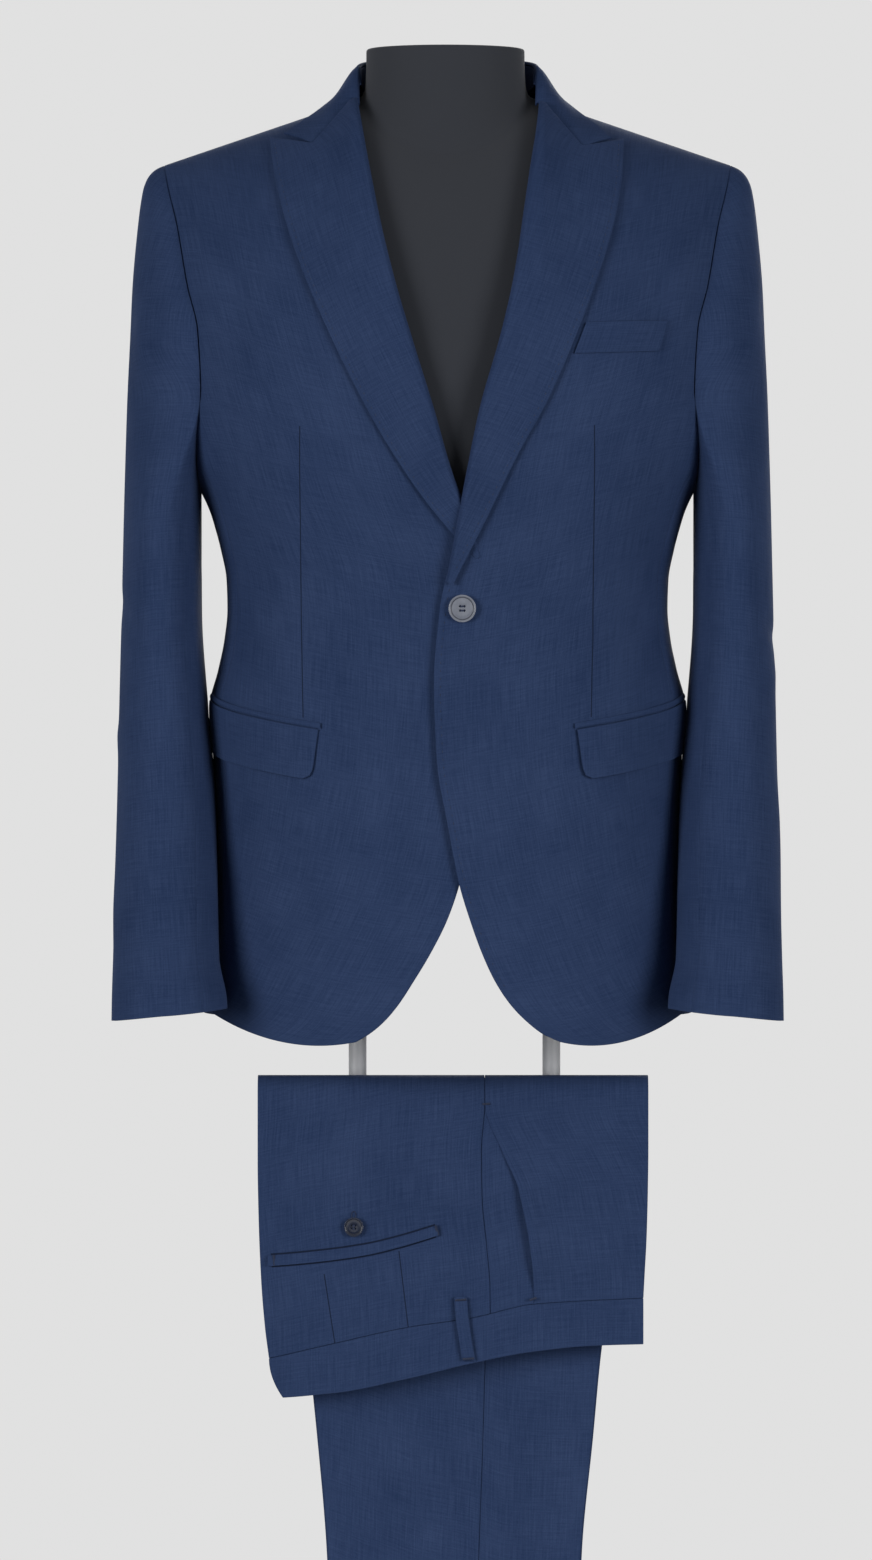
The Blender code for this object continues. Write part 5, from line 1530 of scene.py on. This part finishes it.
SLEEVE_SCALE = 0.05        # creases on a sleeve are placed at turn x this, in metres
TOP_SLEEVE_CREASES = {
    Side.LEFT: (
        Crease((-0.055, 1.215), (0.020, 1.190), -0.0016, 0.011, 0.004),
        Crease((-0.060, 1.150), (0.000, 1.168), 0.0012, 0.012, -0.003),
        Crease((-0.030, 1.480), (-0.045, 1.330), 0.0012, 0.016, 0.004),
        Crease((0.035, 1.470), (0.050, 1.300), -0.0014, 0.018),
        Crease((-0.030, 1.100), (0.015, 0.980), 0.0010, 0.016, -0.006),
        Crease((0.030, 1.080), (0.060, 1.010), -0.0012, 0.013),
    ),
    Side.RIGHT: (
        Crease((-0.060, 1.200), (0.010, 1.225), -0.0014, 0.012, -0.003),
        Crease((-0.050, 1.130), (0.015, 1.118), 0.0011, 0.013, 0.004),
        Crease((-0.025, 1.490), (-0.050, 1.350), 0.0013, 0.015, -0.003),
        Crease((0.040, 1.440), (0.045, 1.280), -0.0012, 0.016),
        Crease((-0.035, 1.060), (0.005, 0.960), 0.0011, 0.018, 0.005),
        Crease((0.025, 1.120), (0.065, 1.040), -0.0013, 0.012),
    ),
}
UNDER_SLEEVE_CREASES = (
    Crease((0.095, 1.180), (0.140, 1.215), -0.0014, 0.010),
    Crease((0.110, 1.140), (0.160, 1.130), -0.0012, 0.012, 0.003),
    Crease((0.120, 1.300), (0.150, 1.240), -0.0012, 0.012),
)


BUTTON_RINGS = (           # width and rise of each ring inward, in tenths of the radius
    (1.0, 0.0), (0.7, -0.75), (0.5, 0.0), (0.8, 0.30), (2.2, -0.12),
)
STRAND_RADIUS = 0.00022
STRAND_PITCH = 0.00024
STRAND_ARCH = 0.00055      # scale of a thread bar's arch between its holes


@dataclass
class Button:
    """A sewn-on four-hole button whose face looks to the front."""

    name: str
    radius: float
    thick: float
    place: tuple[float, float]       # x and z of its axis
    seat: float                      # y of its underside
    hole_offset: float

    def disc(self) -> bpy.types.Object:
        """Model the disc: a raised rim, a groove, a dished face and four holes."""
        deselect()
        bpy.ops.mesh.primitive_cylinder_add(vertices=72, radius=self.radius, depth=self.thick,
                                            location=(0.0, 0.0, 0.5 * self.thick))
        disc = bpy.context.active_object
        bpy.ops.object.transform_apply(location=True, rotation=False, scale=False)
        with edit_mode():
            bpy.ops.mesh.select_mode(type="FACE")
            bpy.ops.mesh.select_all(action="DESELECT")
        for face in disc.data.polygons:
            face.select = face.normal.z > 0.9
        tenth = self.radius / 10
        with edit_mode():
            for width, rise in BUTTON_RINGS:
                bpy.ops.mesh.inset(thickness=width * tenth, depth=0.0)
                bpy.ops.transform.translate(value=(0.0, 0.0, rise * tenth))
        for i in range(4):
            angle = radians(45 + 90 * i)
            bpy.ops.mesh.primitive_cylinder_add(
                vertices=20, radius=0.30 * self.hole_offset + 0.0002, depth=4 * self.thick,
                location=(self.hole_offset * cos(angle), self.hole_offset * sin(angle), 0.0))
            cutter = bpy.context.active_object
            apply_modifier(disc, "BOOLEAN", operation="DIFFERENCE", object=cutter, solver="EXACT")
            bpy.data.objects.remove(cutter, do_unlink=True)
        apply_modifier(disc, "BEVEL", width=0.022 * self.radius, segments=3, limit_method="ANGLE",
                       angle_limit=radians(38))
        disc.data.transform(Matrix.Translation((self.place[0], self.seat, self.place[1]))
                            @ Matrix.Rotation(radians(90), 4, "X"))
        smooth_by_angle(disc, 40)
        return settle(disc, self.name)

    def threads(self) -> bpy.types.Object:
        """Model the thread bars that cross between the holes."""
        bars = []
        reach = self.hole_offset * cos(radians(45))
        for level in (-1, 1):
            for strand in range(5):
                deselect()
                bpy.ops.mesh.primitive_cylinder_add(vertices=8, radius=STRAND_RADIUS, depth=2.1 * reach,
                                                    end_fill_type="NOTHING")
                bar = bpy.context.active_object
                with edit_mode():
                    bpy.ops.mesh.subdivide(number_cuts=7)
                for vertex in bar.data.vertices:
                    along, side, up = vertex.co.z, vertex.co.x, vertex.co.y
                    bend = STRAND_ARCH * cos(0.5 * pi * along / (1.05 * reach))
                    z = self.place[1] + level * reach + (strand - 2) * STRAND_PITCH + side
                    face = self.seat - 0.82 * self.thick
                    y = face + 0.0007 - 2.2 * bend - up * (1 + 0.1 * strand)
                    vertex.co = (self.place[0] + along, y, z)
                bars.append(bar)
        deselect()
        for bar in bars:
            bar.select_set(True)
        bpy.context.view_layer.objects.active = bars[0]
        bpy.ops.object.join()
        bars[0].data.shade_smooth()
        return settle(bars[0], self.name + "_threads")


# ------------------------------------------------------------- trousers
FOLD_HEIGHT = 0.8554       # top of the fold over the bar
INNER_LAYERS = 0.0040      # thickness of the two inner leg sides together
TROUSER_HEM = 0.035
BAR_RADIUS = 0.0085
BAR_EASE = 0.0006          # clear height between the bar and the cloth
LAY_LENGTHS = (0.170, 0.050, 0.800)    # waist part, fold and legs, which share out the rows
WELT_ENDS = (-0.1392, -0.0075)
WELT_HALF = 0.0042         # half the welt's width, and half the span between the painted shadow lines at its slit and its top edge
SLIT_SHADOW_HALF = 0.0048
LOOP_HALF = 0.0052         # half the belt loop's width
INNER_DROP = 0.0016        # how far the inner leg sides reach past the waist seam
PANEL_INSET = 0.0012       # how far the right panels end inside the creases
SWAY = 0.004               # how far the waist part swings forward,
SWAY_DROP = (0.02, 0.22)   # over what drop below the fold,
SWAY_WAVE = (0.0015, 28.0) # with what wave along the bar: height, and turn for each metre
CORNER_CURL = 0.010        # and how far its back corner curls back
CORNER_SPAN = (0.115, 0.150)
MOUTH_GAPE = 0.0056        # how far the slanted pocket's edge stands open,
MOUTH_WIDTH = 0.015        # and over what width
FACING_REACH = 0.0045      # how far the facing shows past the mouth
FACING_LIFT = 0.0009
FACING_WALL = 0.0008
LOOP_WALL = 0.0014
BAND_LEAN = 0.0108         # how far the waistband's back end leans in at its free edge

WAIST_PART = (             # share up the waist part, back crease, front crease, side seam, mouth
    (0.00, -0.1383, 0.1515, 0.0330, 0.0335),
    (0.12, -0.1414, 0.1525, 0.0328, 0.0333),
    (0.30, -0.1443, 0.1540, 0.0305, 0.0325),
    (0.54, -0.1462, 0.1550, 0.0268, 0.0287),
    (0.75, -0.1469, 0.1554, 0.0262, 0.0155),
    (0.97, -0.1469, 0.1554, 0.0288, 0.0),
    (1.00, -0.1469, 0.1554, 0.0288, 0.0),
)
WAISTBAND = (              # x, height of the seam, height of the free edge
    (-0.1400, 0.6362, 0.6062),
    (-0.0870, 0.6485, 0.6100),
    (-0.0300, 0.6609, 0.6212),
    (0.0180, 0.6680, 0.6328),
    (0.0660, 0.6787, 0.6420),
    (0.1120, 0.6816, 0.6465),
    (0.1560, 0.6835, 0.6478),
)
LEGS = (                   # height, back crease, front crease, side seam
    (TROUSER_HEM, -0.0785, 0.0905, 0.0120),
    (0.1600, -0.0815, 0.0935, 0.0150),
    (0.3000, -0.0860, 0.0975, 0.0180),
    (0.4857, -0.0938, 0.1045, 0.0244),
    (0.5725, -0.1011, 0.1130, 0.0275),
    (0.6438, -0.1090, 0.1200, 0.0291),
    (0.7500, -0.1275, 0.1380, 0.0291),
    (0.8384, -0.1469, 0.1554, 0.0288),
)
WELT_LINE = (              # x, height of the back pocket welt's middle
    (-0.1400, 0.7120),
    (-0.1190, 0.7138),
    (-0.0900, 0.7168),
    (-0.0620, 0.7210),
    (-0.0370, 0.7270),
    (-0.0075, 0.7360),
)


@dataclass
class Trousers:
    """The trousers, folded on their creases and hung over the bar."""

    finishes: Cupboard
    waist_creases: tuple[Crease, ...] = (
        Crease((0.020, 0.840), (0.012, 0.705), 0.0016, 0.014, 0.003),
        Crease((-0.010, 0.745), (-0.012, 0.672), 0.0018, 0.016, -0.003),
        Crease((0.045, 0.700), (0.075, 0.820), -0.0010, 0.020),
        Crease((-0.110, 0.690), (-0.120, 0.650), 0.0014, 0.014),
        Crease((-0.060, 0.700), (-0.055, 0.655), 0.0012, 0.016),
        Crease((-0.125, 0.760), (-0.060, 0.748), -0.0008, 0.010),
        Crease((0.100, 0.690), (0.135, 0.730), 0.0012, 0.022),
        Crease((-0.100, 0.800), (-0.030, 0.830), 0.0010, 0.018),
    )
    leg_creases: tuple[Crease, ...] = (
        Crease((-0.060, 0.640), (-0.020, 0.520), 0.0016, 0.020, 0.004),
        Crease((0.080, 0.660), (0.055, 0.500), -0.0014, 0.020, -0.003),
        Crease((-0.040, 0.480), (-0.070, 0.360), 0.0012, 0.016),
        Crease((-0.050, 0.440), (0.060, 0.415), -0.0016, 0.012, 0.004),
        Crease((0.065, 0.470), (0.020, 0.440), 0.0014, 0.010),
        Crease((0.060, 0.300), (0.035, 0.150), 0.0012, 0.016),
        Crease((-0.050, 0.250), (-0.040, 0.100), -0.0012, 0.015, 0.003),
    )

    def __post_init__(self) -> None:
        """Read the tables and stack the layers outward from the bar."""
        self.seam_z, self.edge_z = courses(WAISTBAND)
        self.waist_ends = courses(WAIST_PART)
        self.leg_ends = courses(LEGS)
        self.welt_z, = courses(WELT_LINE)
        self.right = BAR_RADIUS + BAR_EASE
        self.core = self.right + TROUSER_WALL + GAP
        self.left = self.core + INNER_LAYERS + GAP
        self.axis = FOLD_HEIGHT - self.left - TROUSER_WALL

    def sway(self, x: Array, z: Array) -> Array:
        """Return how far the waist part swings forward of the bar."""
        wave, pace = SWAY_WAVE
        down = ramp(FOLD_HEIGHT - z, *SWAY_DROP)
        curl = CORNER_CURL * ramp(-x, *CORNER_SPAN)
        return down * (SWAY + wave * np.sin(pace * x) - curl)

    def over_bar(self, x: Array, along: Array, radius: float, lift: Array | float = 0.0) -> Array:
        """Return points of a layer over the bar.

        Args:
            x: Places across the layer.
            along: 0 to 1 up the waist part, to 2 over the bar, to 3 down the legs.
            radius: The layer's distance from the bar's axis.
            lift: How far the points stand off the layer.
        """
        lift = np.broadcast_to(lift, x.shape)
        z_front = mix(self.seam_z(x) + 0.5 * GAP, self.axis, np.minimum(along, 1.0))
        angle = pi * np.clip(along - 1, 0.0, 1.0)
        z_back = mix(self.axis, TROUSER_HEM, np.clip(along - 2, 0.0, 1.0))
        waves = relief(self.waist_creases, x, z_front) * ramp(z_front, 0.838, 0.815)
        folds = relief(self.leg_creases, x, z_back) * ramp(z_back, 0.80, 0.76)
        front = points_of(x, -radius - self.sway(x, z_front) - waves - lift, z_front)
        reach = radius + lift
        over = points_of(x, -reach * np.cos(angle), self.axis + reach * np.sin(angle))
        back = points_of(x, radius + folds + lift, z_back)
        later = np.where((along < 2)[:, None], over, back)
        return np.where((along <= 1)[:, None], front, later)

    def ends(self, along: Array) -> tuple[Array, Array, Array, Array]:
        """Return x of the back crease, side seam and front crease, and the mouth's width."""
        z = mix(LEGS[-1][0], TROUSER_HEM, np.clip(along - 2, 0.0, 1.0))
        share = np.minimum(along, 1.0)
        waist, legs = along < 2, self.leg_ends
        back = np.where(waist, self.waist_ends[0](share), legs[0](z))
        front = np.where(waist, self.waist_ends[1](share), legs[1](z))
        seam = np.where(waist, self.waist_ends[2](share), legs[2](z))
        return back, seam, front, np.where(waist, self.waist_ends[3](share), 0.0)

    def along(self, up: Array) -> Array:
        """Return the place along the layer for an even share of its length."""
        waist, over, legs = LAY_LENGTHS
        length = up * (waist + over + legs)
        return np.where(length < waist, length / waist,
                        np.where(length < waist + over, 1 + (length - waist) / over,
                                 2 + (length - waist - over) / legs))

    def outward(self, points: Array) -> Array:
        """Return the direction away from the bar."""
        return points_of(0.0, points[:, 1], np.maximum(points[:, 2] - self.axis, 0.0))

    def back_panel(self, name: str, radius: float, inset: float, cells: tuple[int, int],
                   lined: bool) -> Sheet:
        """Lay a back panel, with its two darts, and if it is lined, painted shadow lines at its
        pocket's slit and along the welt's top edge.
        """
        darts = (SewnLine((-0.0960, 0.7060), (-0.0864, 0.6440)),
                 SewnLine((-0.0376, 0.7200), (-0.0298, 0.6560)))

        def x_at(across: Array, along: Array) -> Array:
            crease, seam, _, _ = self.ends(along)
            return mix(crease + inset, seam - 0.5 * GAP, across)

        def place(across: Array, up: Array) -> Array:
            along = self.along(up)
            return self.over_bar(x_at(across, along), along, radius + TROUSER_WALL)

        def lines(across: Array, up: Array) -> Array:
            along = self.along(up)
            x = x_at(across, along)
            z = np.where(along <= 1, place(across, up)[:, 2], FAR)
            # painted shadow: dark lines just below the welt, at the slit, and just above its top edge
            slit_shadow = np.abs(z - self.welt_z(x)) - SLIT_SHADOW_HALF
            off = (x < -0.1385) | (x > -0.0080) | (along > 1)
            found = [dart.distance(x, z) for dart in darts]
            return np.stack([*found, np.where(off, FAR, slit_shadow)], axis=1)

        return lay_sheet(name, cells, place, self.outward, TROUSER_WALL, lines if lined else None,
                         middle=1.0)

    def front_panel(self, name: str, radius: float, inset: float, cells: tuple[int, int],
                    mouth: bool) -> Sheet:
        """Lay a front panel, cut away at the slanted pocket mouth if it has one."""
        def x_at(across: Array, along: Array) -> Array:
            _, seam, crease, width = self.ends(along)
            start = seam + 0.5 * GAP + (width if mouth else 0.0)
            return mix(start, crease - inset, across)

        def place(across: Array, up: Array) -> Array:
            along = self.along(up)
            x = x_at(across, along)
            edge = np.exp(-((x - x_at(0 * x, along)) / MOUTH_WIDTH) ** 2)
            gape = MOUTH_GAPE * ramp(along, 0.02, 0.24) * ramp(along, 0.82, 0.38) * edge
            return self.over_bar(x, along, radius + TROUSER_WALL, gape if mouth else 0.0)

        return lay_sheet(name, cells, place, self.outward, TROUSER_WALL, middle=0.0)

    def inner_layers(self) -> Sheet:
        """Lay the inner leg sides between the panels, their edge just past the waist seam."""
        def place(across: Array, up: Array) -> Array:
            along = self.along(up)
            back, _, front, _ = self.ends(along)
            x = mix(back + 0.0006, front - 0.0006, across)
            points = self.over_bar(x, along, self.core + INNER_LAYERS)
            points[:, 2] -= INNER_DROP * ramp(along, 0.12, 0.0)
            return points

        return lay_sheet("inner_legs_cloth", (50, 170), place, self.outward, INNER_LAYERS)

    def band(self, name: str, radius: float) -> Sheet:
        """Lay half of the waistband, which hangs below the waist seam."""
        _, start, end, _, _ = WAIST_PART[0]

        def place(across: Array, up: Array) -> Array:
            spot = mix(start, end, across)
            x = spot + BAND_LEAN * (1 - up) ** 2 * ramp(-spot, 0.09, -start)
            z = mix(self.edge_z(spot), self.seam_z(spot) - 0.5 * GAP, up)
            waves = relief(self.waist_creases, x, z) * (1 - ramp(-x, 0.10, 0.14))
            full = 0.0004 * np.sin(pi * up)
            return points_of(x, -radius - TROUSER_WALL - self.sway(x, z) - waves - full, z)

        return lay_sheet(name, (130, 20), place, self.outward, TROUSER_WALL)

    def facing(self) -> Sheet:
        """Lay the facing that shows inside the slanted pocket mouth."""
        def place(across: Array, up: Array) -> Array:
            along = 0.965 * up
            _, seam, _, mouth = self.ends(along)
            x = mix(seam + 0.5 * GAP, seam + mouth + FACING_REACH, across)
            return self.over_bar(x, along, self.left + FACING_LIFT)

        return lay_sheet("pocket_facing_cloth", (24, 80), place, self.outward, FACING_WALL,
                         middle=0.0)

    def welt(self) -> Sheet:
        """Lay the back pocket's welt, proud along the slit below it."""
        surface = self.left + TROUSER_WALL

        def place(across: Array, up: Array) -> Array:
            x = mix(*WELT_ENDS, across)
            z = self.welt_z(x) + mix(-WELT_HALF, WELT_HALF, up)
            waves = relief(self.waist_creases, x, z)
            proud = LIFT + 0.0008 + 0.0007 * np.sin(pi * up) + 0.0009 * (1 - up) ** 2
            return points_of(x, -surface - self.sway(x, z) - waves - proud, z)

        return lay_sheet("back_pocket_welt_cloth", (90, 8), place, self.outward, TRIM_WALL)

    def loop(self) -> Sheet:
        """Lay the belt loop, turned under at both ends."""
        rows = ((0.6345, 0.0166, 0.0003), (0.6380, 0.0160, 0.0012), (0.6520, 0.0137, 0.0020),
                (0.6700, 0.0112, 0.0018), (0.6840, 0.0100, 0.0012))
        height, middle, lift = along_rows(rows, (0.0035, 0.0140, 0.0180, 0.0140))
        surface = self.left + TROUSER_WALL

        def place(across: Array, up: Array) -> Array:
            centre = middle(up)
            x = centre + mix(-LOOP_HALF, LOOP_HALF, across)
            z = height(up) + 0.0009 * np.sin(pi * across)
            full = 0.0007 * np.sin(pi * across) ** 0.7
            waves = relief(self.waist_creases, centre, z)
            y = -surface - self.sway(centre, z) - waves - lift(up) - 0.0013 - full
            return points_of(x, y, z)

        return lay_sheet("belt_loop_cloth", (12, 40), place, self.outward, LOOP_WALL)

    def stitches(self) -> bpy.types.Object:
        """Sew the bars at the pockets' ends, the loop's ends and the button's loop."""
        work = Stitching("pocket_bar_stitches", radius=0.00022)
        surface = self.left + TROUSER_WALL
        right, up = np.array((1.0, 0.0, 0.0)), np.array((0.0, 0.0, 1.0))

        def spot(x: float, z: float, lift: float) -> Array:
            xs, zs = np.array([x]), np.array([z])
            y = -surface - self.sway(xs, zs) - relief(self.waist_creases, xs, zs) - lift
            return np.array((x, float(y[0]), z))

        def lean(degrees: float) -> tuple[Array, Array]:
            turn = radians(degrees)
            return cos(turn) * right + sin(turn) * up, -sin(turn) * right + cos(turn) * up

        for x, z, degrees, size, count, lift in (
                (-0.0082, 0.7359, 106.0, (0.0080, 0.0016), 18, 0.0026),
                (-0.1340, 0.7126, 96.0, (0.0080, 0.0016), 18, 0.0026),
                (0.0300, 0.8335, 5.0, (0.0060, 0.0014), 14, 0.0006),
                (0.0662, 0.6830, 20.0, (0.0056, 0.0014), 14, 0.0030),
                (0.0102, 0.6822, 4.0, (0.0090, 0.0014), 20, 0.0036),
                (0.0162, 0.6368, 4.0, (0.0090, 0.0014), 20, 0.0034)):
            along, across = lean(degrees)
            work.bars(spot(x, z, lift), along, across, size, count)
        turns = np.linspace(-0.25 * pi, 1.25 * pi, 14)
        ring = np.array([spot(REAR_BUTTON[0] + 0.0017 * cos(turn), 0.7475 + 0.0030 * sin(turn), 0.0006)
                         for turn in turns])
        work.starts.append(ring[:-1])
        work.ends.append(ring[1:])
        return work.build()

    def dress_all(self) -> None:
        """Lay and dress every piece of the trousers."""
        # pocket is the cloth with the painted shadow at the back pocket's slit and welt edge
        cloth, pocket = self.finishes.cloth, self.finishes.slit_shadow_cloth
        bar, core = ["trouser_bar"], ["inner_legs_cloth"]
        welt = self.welt().piece
        dress(welt, cloth, ["back_pocket_welt"])
        outer = self.back_panel("left_back_cloth", self.left, 0.0, (60, 250), True)
        dress(outer.piece, pocket, ["trouser_left_back"])
        outer.declare(Held.FOLDED, core, [welt])
        jobs = (
            (self.front_panel("left_front_cloth", self.left, 0.0, (44, 250), True),
             "trouser_left_front", Held.FOLDED, core),
            (self.back_panel("right_back_cloth", self.right, PANEL_INSET, (40, 190), False),
             "trouser_right_back", Held.FOLDED, bar),
            (self.front_panel("right_front_cloth", self.right, PANEL_INSET, (34, 190), False),
             "trouser_right_front", Held.FOLDED, bar),
            (self.inner_layers(), "trouser_inner_layers", Held.FOLDED, ["right_back_cloth"]),
            (self.band("waistband_left_cloth", self.left),
             "waistband_left", Held.HUNG, ["left_back_cloth"]),
            (self.band("waistband_right_cloth", self.right),
             "waistband_right", Held.HUNG, ["right_back_cloth"]),
            (self.facing(), "side_pocket_facing", Held.HUNG, ["left_back_cloth"]),
            (self.loop(), "belt_loop", Held.STRETCHED, ["waistband_left_cloth"]),
        )
        for sheet, node, held, rests in jobs:
            dress(sheet.piece, cloth, [node])
            sheet.declare(held, rests)
        dress(self.stitches(), self.finishes.thread)
        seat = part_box("back_pocket_button")[1].y
        button = Button("back_pocket_button_resin", radius=0.0074, thick=0.0030,
                        place=REAR_BUTTON, seat=seat, hole_offset=0.0017)
        dress(button.disc(), self.finishes.dark, ["back_pocket_button"])
        dress(button.threads(), self.finishes.thread)


# ------------------------------------------------------------- form, stand
@dataclass
class Stand:
    """The dress form and the metal that carries it and the trousers."""

    frame: dict
    finishes: Cupboard

    def form(self) -> bpy.types.Object:
        """Round the form's solid into a smooth padded torso."""
        form = node_copy(self.frame, "form_torso", "form_padded_torso")
        bottom, top = (corner.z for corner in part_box("form_torso"))
        low, high = bottom + EDGE_ROUND, top - EDGE_ROUND
        caps = [abs(face.normal.z) > 0.99 and not low <= face.center.z <= high
                for face in form.data.polygons]
        with edit_mode():
            bpy.ops.mesh.select_all(action="DESELECT")
        form.data.polygons.foreach_set("select", caps)
        with edit_mode():
            bpy.ops.mesh.dissolve_faces()
        crease = form.data.attributes.new("crease_edge", "FLOAT", "EDGE")
        for edge in form.data.edges:
            heights = [form.data.vertices[i].co.z for i in edge.vertices]
            if min(heights) > high or max(heights) < low:
                crease.data[edge.index].value = 1.0
        apply_modifier(form, "SUBSURF", levels=2, render_levels=2)
        apply_modifier(form, "BEVEL", width=0.0020, segments=3, limit_method="ANGLE",
                       angle_limit=radians(60))
        smooth_by_angle(form, 40)
        return form

    def metal(self, node: str) -> bpy.types.Object:
        """Round the edges of one of the stand's solids."""
        part = node_copy(self.frame, node, node + "_coated")
        apply_modifier(part, "BEVEL", width=0.0010, segments=3, limit_method="ANGLE",
                       angle_limit=radians(50))
        smooth_by_angle(part, 35)
        return part

    def dress_all(self) -> None:
        """Finish and dress the form and every piece of the stand."""
        dress(self.form(), self.finishes.jersey, ["form_torso"])
        for node in ("base_plate", "post_left", "post_right", "post_foot_left", "post_foot_right",
                     "bar_arm_left", "bar_arm_right", "trouser_bar", "form_bottom_plate"):
            dress(self.metal(node), self.finishes.powder, [node])


# ------------------------------------------------------------- setting
@dataclass
class Studio:
    """Pale floor, soft lamps and the camera."""

    pale: Colour = (0.752, 0.752, 0.752, 1.0)
    glow: Colour = (0.30, 0.30, 0.30, 1.0)         # what the floor shows near the stand
    paint: Colour = (0.78, 0.78, 0.78, 1.0)        # what it bounces there
    dim: Colour = (0.065, 0.067, 0.072, 1.0)       # the surround as light
    fade: tuple[float, float] = (0.9, 2.6)         # distances over which the floor turns pale
    lamps: tuple[tuple[str, tuple[float, float, float], float], ...] = (
        # name, place, power
        ("key", (-3.9, -3.9, 1.6), 158.0),
        ("fill", (3.9, -3.9, 1.5), 138.0),
        ("rear", (0.6, 4.4, 2.8), 112.0),
    )
    lamp_size: float = 2.4
    floor_size: float = 40.0
    floor_drop: float = 0.0005
    focal_length: float = 238.2                    # of the camera, in millimetres,
    film_height: float = 36.0                      # and the height of its film
    eye: tuple[float, float, float] = (-0.0089, -8.0, 1.0840)
    lamp_aim: tuple[float, float, float] = (0.0, 0.0, 1.1)

    def floor(self) -> None:
        """Lay the floor, a little below the stand's plate."""
        deselect()
        bpy.ops.mesh.primitive_grid_add(x_subdivisions=40, y_subdivisions=40, size=self.floor_size,
                                        location=(0.0, 0.0, -self.floor_drop))
        floor = settle(bpy.context.active_object, "studio_floor")
        material, graph, shader = start_material("studio_floor_paint")
        reach = graph.add("ShaderNodeVectorMath", operation="LENGTH")
        graph.join(graph.position(), reach.inputs[0])
        far = graph.remap(reach.outputs["Value"], *self.fade)
        seen = graph.add("ShaderNodeLightPath").outputs["Is Camera Ray"]
        graph.join(graph.blend(far, self.paint, BLACK), shader.inputs["Base Color"])
        glow = graph.blend(far, self.glow, self.pale)
        graph.join(graph.blend(seen, BLACK, glow), shader.inputs["Emission Color"])
        tune(shader, {"Emission Strength": 1.0, "Roughness": 1.0, "Specular IOR Level": 0.0})
        floor.data.materials.append(material)

    def world(self) -> None:
        """Give an even pale surround, plain to the camera and dimmer as light."""
        world = bpy.data.worlds.new("studio")
        bpy.context.scene.world = world
        world.use_nodes = True
        graph = Graph(world.node_tree)
        background = world.node_tree.nodes["Background"]
        seen = graph.add("ShaderNodeLightPath")
        shown = graph.math("MAXIMUM", seen.outputs["Is Camera Ray"], seen.outputs["Is Glossy Ray"])
        graph.join(graph.blend(shown, self.dim, self.pale), background.inputs["Color"])

    def lamp(self, name: str, place: tuple[float, float, float], power: float) -> None:
        """Hang a soft square lamp that looks at the jacket."""
        light = bpy.data.lights.new(name, "AREA")
        light.shape = "SQUARE"
        light.size = self.lamp_size
        light.energy = power
        lamp = bpy.data.objects.new(name, light)
        bpy.context.scene.collection.objects.link(lamp)
        lamp.location = place
        aim = Vector(self.lamp_aim) - Vector(place)
        lamp.rotation_euler = aim.to_track_quat("-Z", "Y").to_euler()

    def camera(self) -> None:
        """Set the camera far off in front, level with the hip pockets."""
        lens = bpy.data.cameras.new("front_view")
        lens.sensor_fit = "VERTICAL"
        lens.sensor_height = self.film_height
        lens.lens = self.focal_length
        lens.clip_end = 60.0
        camera = bpy.data.objects.new("front_view", lens)
        bpy.context.scene.collection.objects.link(camera)
        camera.location = self.eye
        camera.rotation_euler = (radians(90), 0.0, 0.0)
        bpy.context.scene.camera = camera

    def set_up(self) -> None:
        """Build the whole setting."""
        self.floor()
        self.world()
        for lamp in self.lamps:
            self.lamp(*lamp)
        bpy.context.scene.view_settings.view_transform = "Standard"
        self.camera()


FRONT_CREASES = [
    Crease((0.040, 1.215), (0.125, 1.190), 0.0012, 0.016, 0.004),
    Crease((-0.020, 1.215), (-0.110, 1.195), 0.0012, 0.016, -0.004),
    Crease((0.060, 1.120), (0.050, 0.950), 0.0014, 0.022, 0.006),
    Crease((-0.050, 1.110), (-0.075, 0.940), 0.0012, 0.024, -0.005),
    Crease((0.110, 1.060), (0.120, 0.930), -0.0012, 0.022),
    Crease((-0.120, 1.070), (-0.105, 0.940), -0.0014, 0.020, 0.004),
    Crease((-0.060, 1.400), (-0.125, 1.290), 0.0012, 0.026, 0.006),
    Crease((0.085, 1.380), (0.140, 1.270), 0.0010, 0.024, -0.005),
    Crease((-0.150, 1.500), (-0.165, 1.380), -0.0012, 0.020, 0.004),
    Crease((0.155, 1.510), (0.160, 1.390), -0.0012, 0.020, -0.004),
]
BACK_CREASES = [
    Crease((-0.120, 1.520), (-0.040, 1.460), 0.0016, 0.022, 0.005),
    Crease((0.110, 1.500), (0.050, 1.450), 0.0014, 0.024, -0.004),
    Crease((-0.130, 1.430), (-0.120, 1.300), 0.0022, 0.016, 0.006),
    Crease((0.135, 1.440), (0.118, 1.290), 0.0020, 0.018, -0.006),
    Crease((-0.030, 1.250), (-0.120, 1.225), -0.0020, 0.014, 0.005),
    Crease((0.020, 1.240), (0.110, 1.255), -0.0018, 0.015, -0.004),
    Crease((-0.080, 1.120), (-0.090, 0.950), 0.0024, 0.020, 0.006),
    Crease((0.095, 1.110), (0.100, 0.960), 0.0022, 0.022, -0.005),
    Crease((-0.010, 1.560), (0.012, 1.520), -0.0012, 0.014),
]


def main() -> None:
    """Build the suit, the form, the stand and the studio."""
    logging.basicConfig(level=logging.INFO, format="%(name)s: %(message)s")
    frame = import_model()
    finishes = Cupboard()
    Studio().set_up()
    body = Body(front_creases=FRONT_CREASES, back_creases=BACK_CREASES)
    Jacket(body, finishes).dress_all()
    Trousers(finishes).dress_all()
    Stand(frame, finishes).dress_all()
    deselect()


if __name__ == "__main__":
    main()
